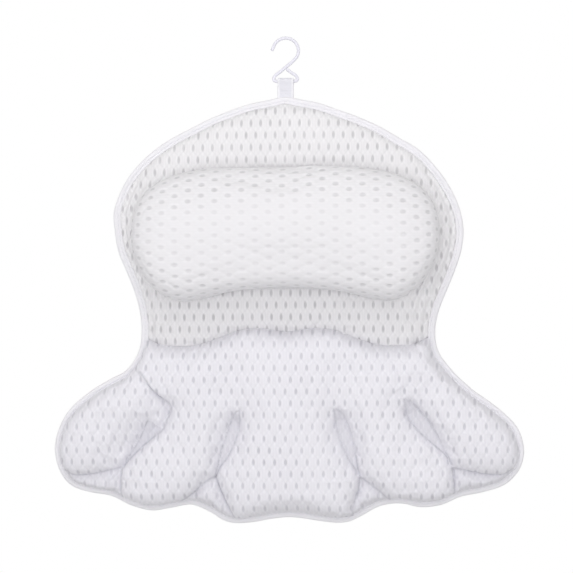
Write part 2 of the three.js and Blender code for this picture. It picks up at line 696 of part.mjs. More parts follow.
function shoulderPieces() {
  const middle = smoothLoop(MIDDLE_LOBE_SHARES.map(padPoint), LOBE_STEPS);
  const wing = smoothLoop(WING_LOBE_SHARES.map(padPoint), LOBE_STEPS);
  const middleCentre = padPoint(MIDDLE_LOBE_CENTRE_SHARE);
  const wingCentre = padPoint(WING_LOBE_CENTRE_SHARE);
  const onLeft = (centre) => new THREE.Vector2(-centre.x, centre.y);
  const turnedBack = (loop) => flipped(loop).reverse();
  const lobe = (loop, centre, height) => chamber(loop, centre, height, LOBE_CROWN);
  const lobes = {
    left_wing_filling: lobe(turnedBack(wing), onLeft(wingCentre), WING_HEIGHT),
    left_lobe_filling: lobe(turnedBack(middle), onLeft(middleCentre), LOBE_HEIGHT),
    centre_lobe_filling: lobe(
      smoothLoop(mirrored(CENTRE_LOBE_SHARES.map(padPoint)), LOBE_STEPS),
      padPoint(CENTRE_LOBE_CENTRE_SHARE),
      LOBE_HEIGHT,
    ),
    right_lobe_filling: lobe(middle, middleCentre, LOBE_HEIGHT),
    right_wing_filling: lobe(wing, wingCentre, WING_HEIGHT),
  };
  const yoke = lobe(
    smoothLoop(mirrored(YOKE_SHARES.map(padPoint)), LOBE_STEPS),
    padPoint(YOKE_CENTRE_SHARE),
    YOKE_HEIGHT,
  );
  let cover = frontSkin(shoulderSide);
  for (const { outside } of [yoke, ...Object.values(lobes)]) cover = cover.add(toSolid(outside));
  for (const { inside } of Object.values(lobes)) cover = cover.subtract(toSolid(inside));
  return [
    mesh('shoulder_front_cover', toGeometry(inFront(cover)), MESH_WHITE),
    ...Object.entries(lobes).map(([name, { filling }]) => mesh(name, filling, FIBRE_WHITE)),
  ];
}

function cupPieces() {
  const headPlaces = HEAD_CUP_SHARES.map(padPoint);
  const shoulderPlaces = SHOULDER_CUP_SHARES.map(padPoint);
  const pieces = [
    backCover('head_back_cover', headSide, headPlaces),
    backCover('shoulder_back_cover', shoulderSide, shoulderPlaces),
  ];
  [...headPlaces, ...shoulderPlaces].forEach((place, i) => {
    pieces.push(suctionCup(`suction_cup_${i + 1}`, place));
    pieces.push(cupEyelet(`cup_eyelet_${i + 1}`, place));
  });
  return pieces;
}

// Turns a piece of the pad about the piping at its top edge, as the pad hangs.
function hung(piece) {
  const pivotZ = -PAD_TOP_DROP - PIPING_RADIUS;
  piece.geometry.translate(0, 0, -pivotZ);
  piece.geometry.rotateX(THREE.MathUtils.degToRad(HANG_TILT_DEGREES));
  piece.geometry.translate(0, 0, pivotZ);
  return piece;
}

const pillow = new THREE.Group();
pillow.name = 'bath_pillow';
pillow.add(wireHook(), hangingLoop());
pillow.add(...[...pipingPieces(), ...headPieces(), ...shoulderPieces(), ...cupPieces()].map(hung));

export default pillow;
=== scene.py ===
"""Spa bath pillow of white air mesh, hanging from its wire hook.

Lengths are in millimetres until a mesh is made, and every Blender object is in metres.
Pieces of the pad are laid out upright, with the edge seam in the plane y = 0 and the front
towards -Y. They are then turned about the piping at the top, as the pad hangs.
"""

import logging
import math
from contextlib import contextmanager
from dataclasses import dataclass, field
from typing import Callable, Iterator, Optional, Sequence

import bmesh
import bpy
import numpy as np
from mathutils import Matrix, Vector, geometry


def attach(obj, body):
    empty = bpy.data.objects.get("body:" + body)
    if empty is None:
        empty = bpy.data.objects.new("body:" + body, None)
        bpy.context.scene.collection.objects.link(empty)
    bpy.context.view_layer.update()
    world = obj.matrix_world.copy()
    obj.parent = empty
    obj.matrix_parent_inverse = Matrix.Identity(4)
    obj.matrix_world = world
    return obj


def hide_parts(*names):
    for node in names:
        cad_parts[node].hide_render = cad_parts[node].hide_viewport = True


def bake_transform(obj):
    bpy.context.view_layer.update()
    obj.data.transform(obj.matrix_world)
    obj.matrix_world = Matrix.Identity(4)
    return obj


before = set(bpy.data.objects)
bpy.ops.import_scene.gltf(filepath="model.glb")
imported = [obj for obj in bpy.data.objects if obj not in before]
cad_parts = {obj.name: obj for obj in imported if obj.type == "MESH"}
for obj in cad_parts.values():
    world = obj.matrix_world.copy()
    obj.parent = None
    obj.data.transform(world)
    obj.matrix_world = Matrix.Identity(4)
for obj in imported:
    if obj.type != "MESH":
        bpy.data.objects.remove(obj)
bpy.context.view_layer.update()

LOG = logging.getLogger("bath_pillow")
MM = 0.001

HANG_TILT = math.radians(5.6)
PIVOT_Z = -56.3
DEPTHWAYS = (0.0, 1.0, 0.0)

# Distances between corners, along the swept pieces and round their sections.
OUTLINE_STEP, WIRE_STEP, TAPE_STEP, CORD_STEP, ROUND_STEP = 1.8, 0.7, 0.5, 1.6, 0.9
PANEL_STEP, CUSHION_STEP, BACK_STEP = 2.1, 2.4, 4.4

Piece = bpy.types.Object
Material = bpy.types.Material
Socket = bpy.types.NodeSocket
Points = np.ndarray
Solid = tuple[np.ndarray, list]
Colour = tuple[float, float, float]
Height = Callable[[np.ndarray, np.ndarray], np.ndarray]


# ---------------------------------------------------------------- measured lines, as (x, z)

PAD_RIGHT = [
    (0, -52.8), (14, -55.4), (30.3, -58.7), (48.6, -65.2), (66.9, -72), (85.2, -80.3),
    (103.5, -91), (121.8, -102.3), (139.5, -121.2), (151.2, -139.1), (158.9, -157.4),
    (162, -175.7), (160, -194), (154.2, -212.3), (146.7, -230.6), (139.4, -248.9),
    (135.8, -267.2), (138.3, -285.5), (151.1, -303.8), (170.4, -322.1), (182.7, -330.8),
    (195.8, -340.9), (207.8, -352.9), (213.1, -362.2), (216.3, -377), (215, -386.9),
    (211.2, -396), (205.3, -403.2), (196.6, -409.6), (176.7, -415.9), (158.4, -419.7),
    (140.1, -427.3), (121.8, -429.3), (103.5, -425.9), (85.2, -428.1), (66.9, -437.6),
    (57, -442.2), (47, -443.7), (30.3, -442.2), (12, -439.4)]
PAD_LEFT = [
    (0, -438.6), (15.5, -440.2), (33.8, -443.4), (50, -444), (60, -441.2), (70.4, -434.6),
    (88.7, -427.2), (107, -429.9), (125.3, -432.5), (144, -428.1), (163, -419.2),
    (181.7, -415.8), (199.6, -409.8), (210.4, -397), (215.5, -377), (212, -358),
    (201.7, -339.6), (181.9, -322.3), (163, -311), (148.7, -303.2), (137, -285.5),
    (134.2, -267.2), (135.7, -248.9), (140.5, -230.6), (147.6, -212.3), (155, -194),
    (158.3, -175.7), (159, -157.4), (152.8, -139.1), (142.5, -121.6), (125.3, -104.2),
    (107, -91.3), (88.7, -81.8), (70.4, -72.7), (52.1, -65.4), (33.8, -59.4), (15.5, -55.7)]
CUSHION_HALF = np.array([
    (0, -117), (35, -117.5), (70, -120), (100, -126), (121.5, -137), (134.5, -153),
    (139.2, -176), (137.4, -195), (130.5, -212), (118, -228), (100, -237.5), (80, -237),
    (55, -232.5), (28, -229), (0, -228)])
NECK_HALF = np.array([
    (0, -267.9), (11, -266.3), (26.6, -264.2), (45.6, -266.8), (58.2, -271.6),
    (79.1, -278.9), (93.9, -281), (117, -278.9), (127, -274.8), (140, -268)])
LEFT_INNER = [
    (-42.1, -338.0), (-42.1, -341.8), (-42.9, -354.9), (-47.3, -368.9), (-53.4, -381.2),
    (-60.5, -390.9), (-64.9, -399.6)]
LEFT_INNER_FOOT = [(-64.9, -399.6), (-60.5, -411.8), (-55.2, -424.1), (-48.2, -437.5)]
LEFT_LENS = [
    (-42.6, -338.5), (-46.5, -340.9), (-50.9, -350.5), (-55.2, -362), (-58.7, -372.5),
    (-62.2, -385.6), (-64.9, -399.6)]
LEFT_LENS_FOOT = [
    (-64.9, -399.6), (-68.3, -400.5), (-76.2, -405.7), (-87.7, -416.2), (-99, -423.5)]
RIGHT_LENS = [
    (44, -336.8), (50, -340.1), (56.1, -352.4), (60.5, -365.5), (63, -379.5),
    (64.9, -391.7), (66.9, -399.5)]
RIGHT_LENS_FOOT = [(66.9, -399.5), (74.5, -404.9), (83.2, -411.8), (94, -421.5)]
RIGHT_INNER = [
    (43.4, -337.2), (44.7, -350.2), (48.2, -365.8), (53.4, -377.7), (59.6, -388.7),
    (66.9, -399.5)]
RIGHT_INNER_FOOT = [(66.9, -399.5), (64.9, -413.4), (61.3, -423.5), (58.6, -437.5)]
RIGHT_OUTER = [
    (107.2, -328.5), (109.5, -343.6), (115.6, -353.2), (122.6, -361), (129.7, -367.2),
    (145, -381), (150.5, -389.6)]
RIGHT_OUTER_LENS = [
    (107.9, -327.9), (115.6, -333.1), (122.6, -340.9), (130.5, -350.5), (139, -366),
    (146.5, -381), (150.5, -389.6)]
LEFT_OUTER = [
    (-131.9, -303), (-125.3, -314.8), (-117.9, -323.9), (-111.5, -328.5), (-106.5, -332.4),
    (-104.7, -337.5), (-108.6, -346.2), (-113, -356.7), (-120.9, -363), (-134, -374),
    (-145, -385), (-150.5, -392)]
LEFT_OUTER_LENS = [
    (-127.1, -347.7), (-130.4, -354.6), (-135.4, -365.8), (-144.6, -381), (-150.5, -392)]
WING_FOOT = [
    (150.5, -391), (161.9, -393.6), (173.2, -396.4), (186.1, -397.9), (196, -397.9),
    (204.5, -393)]
MIDDLE_FOOT = [(150.5, -391), (152, -400), (152.5, -412), (152.5, -416)]
CUPS = [
    (-90.3, -166.19), (90.3, -166.19), (-150.5, -365.6), (-53.75, -322.59),
    (53.75, -322.59), (150.5, -365.6)]

# The cushion's side at its top and at its bottom, as (out past the seam's line, height).
UPPER_SIDE = [
    (-6, 0), (-2.4, 6), (-0.7, 13), (0, 21), (-0.1, 28), (-1.0, 34), (-2.7, 38), (-4.8, 41),
    (-7.6, 43.8), (-11.4, 46.5), (-16, 49), (-22, 51.6), (-29, 53.8), (-36, 55.2)]
LOWER_SIDE = [
    (-6, 0), (-2.4, 6), (-0.7, 12), (0, 19), (-0.2, 27), (-1.0, 34.5), (-2.4, 39.5),
    (-4.2, 43.3), (-6.8, 47), (-10.4, 50), (-15, 52.2), (-21, 53.8), (-28, 55), (-36, 55.8)]

# Half of the bound edge's section, as (in from the outline, y), and the suction cup's and
# the eyelet's sections, as (radius, y).
BINDING_HALF = [
    (0.0, 0.0), (0.12, 1.0), (0.6, 2.1), (1.4, 2.85), (2.3, 3.1), (3.2, 2.9), (3.9, 2.4),
    (4.3, 2.15), (4.7, 2.35), (5.5, 2.7), (6.3, 2.5), (6.9, 1.8), (7.2, 0.6)]
CUP_SECTION = [
    (0, 0.45), (7, 0.45), (7, 1.55), (3, 1.65), (3, 7.75), (8.5, 7.75), (8.5, 9.35),
    (15.7, 12.0), (20.6, 15.1), (24.2, 18.4), (25, 19.6), (25, 20.65), (22.4, 20.6),
    (19.7, 16.85), (14.8, 13.8), (8.5, 11.8), (0, 11.15)]
EYELET_SECTION = [
    (3.6, 1.85), (9.5, 1.85), (9.5, 2.85), (5.2, 2.85), (5.2, 6.45), (9.5, 6.45),
    (9.5, 7.45), (3.6, 7.45), (3.6, 4.5)]


# ---------------------------------------------------------------- lines in the plane

def length_along(path: Points) -> np.ndarray:
    """Distance along a line from its start to each of its corners."""
    return np.concatenate([[0], np.cumsum(np.linalg.norm(np.diff(path, axis=0), axis=1))])


def mirrored(half: Points) -> Points:
    """The closed outline of a half that starts and ends on the middle line."""
    return np.vstack([half, half[-2:0:-1] * [-1, 1]])


def flipped(line: Sequence) -> Points:
    """The line on the other side of the middle."""
    return np.array(line, float) * [-1, 1]


def spaced(line: Points, step: float, closed: bool = False) -> Points:
    """Evenly spaced corners along a polyline. An open one keeps both its ends."""
    path = np.vstack([line, line[:1]]) if closed else np.asarray(line, float)
    along = length_along(path)
    marks = np.linspace(0, along[-1], max(2, int(round(along[-1] / step))) + 1)
    new = np.column_stack([np.interp(marks, along, path[:, k]) for k in range(path.shape[1])])
    return new[:-1] if closed else new


def curved(points: Sequence, step: float, closed: bool = False) -> Points:
    """A smooth line through the points, with evenly spaced corners."""
    p = np.asarray(points, float)
    if closed:
        ring = np.vstack([p[-1:], p, p[:2]])
    else:
        ring = np.vstack([2 * p[0] - p[1], p, 2 * p[-1] - p[-2]])
    pieces = []
    for a, b, c, d in zip(ring[:-3], ring[1:-2], ring[2:-1], ring[3:]):
        gaps = [max(np.linalg.norm(q - r), 1e-6) ** 0.5 for q, r in ((b, a), (c, b), (d, c))]
        before, here, after = gaps
        leave = ((b - a) / before - (c - a) / (before + here) + (c - b) / here) * here
        arrive = ((c - b) / here - (d - b) / (here + after) + (d - c) / after) * here
        t = np.linspace(0, 1, 14)[:-1, None]
        pieces.append(
            b * (2 * t**3 - 3 * t**2 + 1) + leave * (t**3 - 2 * t**2 + t)
            + c * (3 * t**2 - 2 * t**3) + arrive * (t**3 - t**2)
        )
    return spaced(np.vstack(pieces + ([] if closed else [p[-1:]])), step, closed)


def area_of(loop: Points) -> float:
    """Signed area of a closed loop, positive where it runs against the clock."""
    x, y = loop[:, 0], loop[:, 1]
    return float((x * np.roll(y, -1) - y * np.roll(x, -1)).sum() / 2)


def against_clock(loop: Points) -> Points:
    """The closed loop, turned round if it runs with the clock."""
    return loop if area_of(loop) > 0 else loop[::-1]


def outward(loop: Points) -> Points:
    """Unit directions out of a closed loop, one at each corner."""
    along = np.roll(loop, -1, axis=0) - np.roll(loop, 1, axis=0)
    along /= np.linalg.norm(along, axis=1, keepdims=True)
    return np.column_stack([along[:, 1], -along[:, 0]]) * (1 if area_of(loop) > 0 else -1)


def drawn_in(loop: Points, distance: float) -> Points:
    """The closed loop moved inwards by a distance."""
    return loop - outward(loop) * distance


def inside(points: Points, loop: Points) -> np.ndarray:
    """Which points lie inside a closed loop."""
    x, y = points[:, 0:1], points[:, 1:2]
    ax, ay = loop[:, 0], loop[:, 1]
    bx, by = np.roll(ax, -1), np.roll(ay, -1)
    straddles = (ay > y) != (by > y)
    with np.errstate(divide="ignore", invalid="ignore"):
        crossing = ax + (y - ay) * (bx - ax) / (by - ay)
    return (straddles & (x < crossing)).sum(1) % 2 == 1


def nearest(points: Points, line: Points) -> np.ndarray:
    """The number of the line's corner that is nearest to each point."""
    found = np.empty(len(points), int)
    for start in range(0, len(points), 500):
        part = points[start:start + 500, None] - line[None]
        found[start:start + 500] = np.argmin((part**2).sum(2), axis=1)
    return found


def distance_to(points: Points, line: Points) -> np.ndarray:
    """Distance from each point to the nearest corner of a finely spaced line."""
    return np.linalg.norm(points - line[nearest(points, line)], axis=1)


def neck_height(x: np.ndarray) -> np.ndarray:
    """Height of the neck seam at each distance across."""
    line = curved(NECK_HALF, 1.0)
    return np.interp(np.abs(x), line[:, 0], line[:, 1])


def along_neck(x: np.ndarray, z: np.ndarray) -> np.ndarray:
    """How far places of a rim lie along the neck seam: 1 on it, 0 at the pad's sides."""
    near = np.abs(z - neck_height(x)) < 0.8
    return near * np.clip((126 - np.abs(x)) / 14, 0, 1)


def pad_outline() -> Points:
    """The pad's outline, finely spaced."""
    corners = np.vstack([PAD_RIGHT, flipped(PAD_LEFT)])
    return against_clock(curved(corners, OUTLINE_STEP, closed=True))


def part_rim(inset: float, head: bool, gap: float) -> Points:
    """The rim of the head part or the shoulder part.

    Args:
        inset: How far the rim lies inside the pad's outline.
        head: Whether it is the part above the neck seam.
        gap: How far the rim runs below the neck seam.

    Returns:
        The pad's edge on that side of the neck, then the neck's line back to its start.
    """
    edge = drawn_in(pad_outline(), inset)
    own = edge[(edge[:, 1] > neck_height(edge[:, 0])) == head]
    split = int(np.argmax(np.linalg.norm(own - np.roll(own, 1, axis=0), axis=1)))
    own = np.roll(own, -split, axis=0)
    x = np.linspace(own[-1][0], own[0][0], 130)[1:-1]
    return np.vstack([own, np.column_stack([x, neck_height(x) - gap])])


def hung(points: Points) -> Points:
    """Points of the upright pad, turned about its top piping as the pad hangs."""
    p = np.array(points, float).reshape(-1, 3)
    away, cos, sin = p[:, 2] - PIVOT_Z, math.cos(HANG_TILT), math.sin(HANG_TILT)
    return np.column_stack([p[:, 0], p[:, 1] * cos - away * sin,
                            PIVOT_Z + p[:, 1] * sin + away * cos])


# ---------------------------------------------------------------- corners and faces

def upright(flat: Points, y: float = 0.0) -> Points:
    """Places or directions of the pad's plane, put in space at one depth."""
    return np.column_stack([flat[:, 0], np.full(len(flat), y), flat[:, 1]])


def circle(radius: float, steps: int) -> Points:
    """Corners of a circle round the origin."""
    angle = np.arange(steps) / steps * math.tau
    return np.column_stack([np.cos(angle), np.sin(angle)]) * radius


def directions(path: Points) -> Points:
    """Unit direction of a path at each of its corners."""
    along = np.gradient(path, axis=0)
    return along / np.linalg.norm(along, axis=1, keepdims=True)


def joined(parts: Sequence[Solid]) -> Solid:
    """Several sets of corners and faces as one."""
    points, faces, start = [], [], 0
    for some_points, some_faces in parts:
        points.append(some_points)
        faces += [tuple(i + start for i in face) for face in some_faces]
        start += len(some_points)
    return np.vstack(points), faces


def swept(path: Points, across: Points, beside: Points, section: Points,
          closed: bool = False) -> Solid:
    """A solid drawn along a path.

    Args:
        path: Places along the path.
        across: The section's first direction, at each place or everywhere.
        beside: The section's second direction, at each place or everywhere.
        section: Corners of the section, or one section for each place.
        closed: Whether the path is a loop. An open one gets closed ends.

    Returns:
        The corners and faces of the solid.
    """
    across, beside = (np.broadcast_to(way, path.shape)[:, None] for way in (across, beside))
    sections = np.broadcast_to(section, (len(path),) + section.shape[-2:])
    points = path[:, None] + across * sections[..., :1] + beside * sections[..., 1:]
    count, sides = points.shape[:2]
    faces = []
    for i in range(count if closed else count - 1):
        a, b = i * sides, (i + 1) % count * sides
        faces += [(a + k, a + (k + 1) % sides, b + (k + 1) % sides, b + k)
                  for k in range(sides)]
    if not closed:
        last = (count - 1) * sides
        faces += [tuple(range(sides - 1, -1, -1)), tuple(range(last, last + sides))]
    return points.reshape(-1, 3), faces


def turned(profile: Points, steps: int) -> Solid:
    """A turned solid about the Y axis, from a closed or axis-to-axis line of (radius, y)."""
    points, faces, rings = [], [], []
    for radius, y in profile:
        on_axis = radius < 1e-6
        numbers = len(points) + np.arange(steps) * (not on_axis)
        rings.append(numbers.tolist())
        points += [(0, y, 0)] if on_axis else upright(circle(radius, steps), y).tolist()
    pairs = list(zip(rings, rings[1:]))
    if profile[0][0] > 1e-6:
        pairs.append((rings[-1], rings[0]))
    for low, high in pairs:
        for k in range(steps):
            n = (k + 1) % steps
            faces.append(tuple(dict.fromkeys((low[k], low[n], high[n], high[k]))))
    return np.array(points), faces


def rounded_line(corners: Sequence, radius: float, steps: int = 3) -> Points:
    """The line with its inner corners rounded off."""
    p = np.array(corners, float)
    out = [p[0]]
    for a, b, c in zip(p[:-2], p[1:-1], p[2:]):
        back, on = np.linalg.norm(a - b), np.linalg.norm(c - b)
        reach = min(radius, back * 0.45, on * 0.45)
        first, last = b + (a - b) / back * reach, b + (c - b) / on * reach
        for t in np.linspace(0, 1, steps + 1):
            out.append((1 - t) ** 2 * first + 2 * t * (1 - t) * b + t**2 * last)
    return np.array(out + [p[-1]])


def stitches(path: Points, up: Sequence[float], pitch: float, length: float,
             radius: float) -> Solid:
    """A row of thread stitches.

    Args:
        path: Line that the stitches follow, finely spaced.
        up: Direction out of the cloth.
        pitch: Distance from one stitch to the next.
        length: Length of a stitch.
        radius: Half the thread's thickness.

    Returns:
        Corners and faces of all the stitches.
    """
    along = length_along(path)
    t = np.linspace(-0.5, 0.5, 5)
    rise = radius * 1.3 * (1 - (2 * t) ** 4) - radius * 0.9
    thick = np.sqrt(1 - (1.8 * t) ** 2 * 0.9)
    section = circle(radius, 6) * thick[:, None, None]
    parts = []
    for mark in np.arange(pitch / 2, along[-1] - length, pitch):
        where = mark + length / 2 + t * length
        line = np.column_stack([np.interp(where, along, path[:, k]) for k in range(3)])
        line = line + np.array(up) * rise[:, None]
        side = np.cross(line[-1] - line[0], up)
        parts.append(swept(line, up, side / np.linalg.norm(side), section))
    return joined(parts)


# ---------------------------------------------------------------- meshes

def coordinates(data: bpy.types.Mesh, which: str = "co") -> Points:
    """The corners of a mesh, or with "normal" its directions out at each corner."""
    flat = np.empty(len(data.vertices) * 3)
    data.vertices.foreach_get(which, flat)
    return flat.reshape(-1, 3)


def set_coordinates(data: bpy.types.Mesh, points: Points) -> None:
    """Moves the corners of a mesh to the given places."""
    data.vertices.foreach_set("co", np.asarray(points, float).ravel())
    data.update()


def plan_of(piece: Piece) -> Points:
    """Where each corner of a piece lies in the pad's plane, in millimetres."""
    return coordinates(piece.data)[:, [0, 2]] / MM


def new_object(name: str, points: Points, faces: Sequence) -> Piece:
    """A smooth-shaded mesh object in the scene, from corners in millimetres."""
    data = bpy.data.meshes.new(name)
    data.from_pydata((np.asarray(points, float) * MM).tolist(), [],
                     [tuple(map(int, face)) for face in faces])
    data.polygons.foreach_set("use_smooth", np.ones(len(data.polygons), bool))
    data.update()
    return linked(name, data)


def linked(name: str, data: bpy.types.ID) -> Piece:
    """An object with the given data, linked to the scene."""
    piece = bpy.data.objects.new(name, data)
    bpy.context.scene.collection.objects.link(piece)
    return piece


@contextmanager
def reworked(piece: Piece) -> Iterator[bmesh.types.BMesh]:
    """Opens a closed mesh for changes, and turns its faces outwards at the end."""
    work = bmesh.new()
    work.from_mesh(piece.data)
    yield work
    bmesh.ops.recalc_face_normals(work, faces=work.faces)
    work.to_mesh(piece.data)
    work.free()
    piece.data.update()


def new_solid(name: str, solid: Solid) -> Piece:
    """A closed mesh object with its faces turned outwards."""
    piece = new_object(name, *solid)
    with reworked(piece):
        pass
    return piece


def changed(piece: Piece, kind: str, **settings) -> None:
    """Puts a piece through a modifier and keeps the result as its mesh."""
    modifier = piece.modifiers.new("Change", kind)
    for key, value in settings.items():
        setattr(modifier, key, value)
    graph = bpy.context.evaluated_depsgraph_get()
    made = bpy.data.meshes.new_from_object(piece.evaluated_get(graph))
    piece.modifiers.remove(modifier)
    old, piece.data = piece.data, made
    bpy.data.meshes.remove(old)
    made.name = piece.name


def refined(piece: Piece, levels: int) -> None:
    """Subdivides a piece smoothly."""
    changed(piece, "SUBSURF", levels=levels, render_levels=levels,
            boundary_smooth="PRESERVE_CORNERS")
    polygons = piece.data.polygons
    polygons.foreach_set("use_smooth", np.ones(len(polygons), bool))


def lay_fabric(piece: Piece, flat: Points) -> None:
    """Stores where each corner lies on the flat fabric, in tenths of a metre."""
    data = piece.data
    layer = data.uv_layers.get("fabric") or data.uv_layers.new(name="fabric")
    corner = np.empty(len(data.loops), int)
    data.loops.foreach_get("vertex_index", corner)
    layer.uv.foreach_set("vector", (flat[corner] / 100).ravel())


def fabric_of(piece: Piece) -> Points:
    """Where each corner of a piece lies on the flat fabric, in millimetres."""
    data = piece.data
    place, corner = np.empty(len(data.loops) * 2), np.empty(len(data.loops), int)
    data.uv_layers["fabric"].uv.foreach_get("vector", place)
    data.loops.foreach_get("vertex_index", corner)
    flat = np.zeros((len(data.vertices), 2))
    flat[corner] = place.reshape(-1, 2) * 100
    return flat


def lay_along(piece: Piece, sides: int, count: int, step: float) -> None:
    """Lays a swept piece's fabric round its section and along its path."""
    around = np.tile(np.arange(sides) * ROUND_STEP, count)
    lay_fabric(piece, np.column_stack([around, np.repeat(np.arange(count) * step, sides)]))


def closed_behind(piece: Piece, y: float) -> None:
    """Closes an open panel with a wall along its rim and a flat face at a level."""
    with reworked(piece) as work:
        rim = [edge for edge in work.edges if edge.is_boundary]
        drawn = bmesh.ops.extrude_edge_only(work, edges=rim)["geom"]
        for item in drawn:
            if isinstance(item, bmesh.types.BMVert):
                item.co.y = y * MM
        foot = [item for item in drawn if isinstance(item, bmesh.types.BMEdge)]
        bmesh.ops.triangle_fill(work, edges=foot, use_beauty=True)
    piece.data.set_sharp_from_angle(angle=math.radians(70))


def hang(piece: Piece) -> None:
    """Turns a finished piece of the upright pad to where it hangs."""
    set_coordinates(piece.data, hung(coordinates(piece.data) / MM) * MM)


def bend_at_neck(piece: Piece) -> None:
    """Bakes the transform of a piece that has no body into its mesh."""
    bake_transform(piece)


def dressed(piece: Piece, material: Material) -> Piece:
    """Gives a piece its material."""
    piece.data.materials.clear()
    piece.data.materials.append(material)
    return piece


def settled(piece: Piece, material: Material, slot: str, *nodes: str, body: str = "",
            fill: float = 0.0) -> Piece:
    """Hangs and dresses a piece of the pad, and hides the CAD nodes that it replaces.

    Args:
        piece: The finished mesh, still upright.
        material: Its material.
        slot: Not used.
        nodes: The CAD nodes that it replaces.
        body: The body that it rides on. Without one its transform is baked into its mesh.
        fill: Not used.

    Returns:
        The piece.
    """
    hang(piece)
    dressed(piece, material)
    if nodes:
        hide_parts(*nodes)
    if body:
        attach(piece, body)
    else:
        bend_at_neck(piece)
    return piece


# ---------------------------------------------------------------- finishes

def sum_of(operation: str, swapped: bool = False) -> Callable:
    """The method of Value for one kind of sum."""
    def method(self: "Value", other) -> "Value":
        first, second = (other, self) if swapped else (self, other)
        return self.nodes.math(operation, first, second)

    return method


class Value:
    """A number in a node tree that takes part in ordinary sums."""

    def __init__(self, nodes: "Nodes", socket: Socket) -> None:
        """Wraps the output of a node."""
        self.nodes, self.socket = nodes, socket

    __add__ = __radd__ = sum_of("ADD")
    __mul__ = __rmul__ = sum_of("MULTIPLY")
    __sub__, __rsub__ = sum_of("SUBTRACT"), sum_of("SUBTRACT", swapped=True)
    __truediv__, __pow__ = sum_of("DIVIDE"), sum_of("POWER")


class Nodes:
    """Builds the node tree of a new material or world."""

    def __init__(self, owner: bpy.types.ID) -> None:
        """Takes the tree of its owner, which starts with a single shader."""
        owner.use_nodes = True
        self.owner, self.tree = owner, owner.node_tree

    @classmethod
    def of_material(cls, name: str) -> "Nodes":
        """The node tree of a new material."""
        return cls(bpy.data.materials.new(name))

    def feed(self, socket: Socket, value) -> None:
        """Links a socket to another node's output, or sets its own value."""
        value = value.socket if isinstance(value, Value) else value
        if isinstance(value, Socket):
            self.tree.links.new(value, socket)
        else:
            socket.default_value = value

    def node(self, kind: str, inputs: Optional[dict] = None, **settings) -> bpy.types.Node:
        """Adds a node with values or outputs for its sockets, by name or number."""
        made = self.tree.nodes.new(kind)
        for key, value in settings.items():
            setattr(made, key, value)
        for key, value in (inputs or {}).items():
            self.feed(made.inputs[key], value)
        return made

    def math(self, operation: str, *values, clamp: bool = False) -> Value:
        """The result of a sum on values or outputs."""
        made = self.node("ShaderNodeMath", operation=operation, use_clamp=clamp)
        for socket, value in zip(made.inputs, values):
            self.feed(socket, value)
        return Value(self, made.outputs[0])

    def step(self, value, low: float, high: float) -> Value:
        """A soft step from 0 at low to 1 at high."""
        ends = {"Value": value, "From Min": low, "From Max": high}
        made = self.node("ShaderNodeMapRange", ends, interpolation_type="SMOOTHSTEP")
        return Value(self, made.outputs["Result"])

    def mix(self, share, first: Colour, second: Colour) -> Socket:
        """A colour between two others."""
        ends = {"Factor": share, 6: (*first, 1), 7: (*second, 1)}
        return self.node("ShaderNodeMix", ends, data_type="RGBA").outputs[2]

    def fabric(self) -> tuple[Value, Value]:
        """Place on the flat fabric, across and up, in millimetres."""
        place = self.node("ShaderNodeUVMap", uv_map="fabric").outputs["UV"]
        apart = self.node("ShaderNodeSeparateXYZ", {0: place}).outputs
        return Value(self, apart[0]) * 100.0, Value(self, apart[1]) * 100.0

    def noise(self, scale: float, detail: float = 2.0) -> Value:
        """Soft noise, by object place."""
        place = self.node("ShaderNodeTexCoord").outputs["Object"]
        inputs = {"Vector": place, "Scale": scale, "Detail": detail}
        return Value(self, self.node("ShaderNodeTexNoise", inputs).outputs["Fac"])

    def bump(self, height, distance: float) -> Socket:
        """A bumped normal."""
        inputs = {"Height": height, "Distance": distance, "Strength": 1.0}
        return self.node("ShaderNodeBump", inputs).outputs["Normal"]

    def surface(self, **sockets) -> Material:
        """Sets the surface shader's sockets and returns the material."""
        for key, value in sockets.items():
            self.feed(self.tree.nodes["Principled BSDF"].inputs[key.replace("_", " ")], value)
        return self.owner


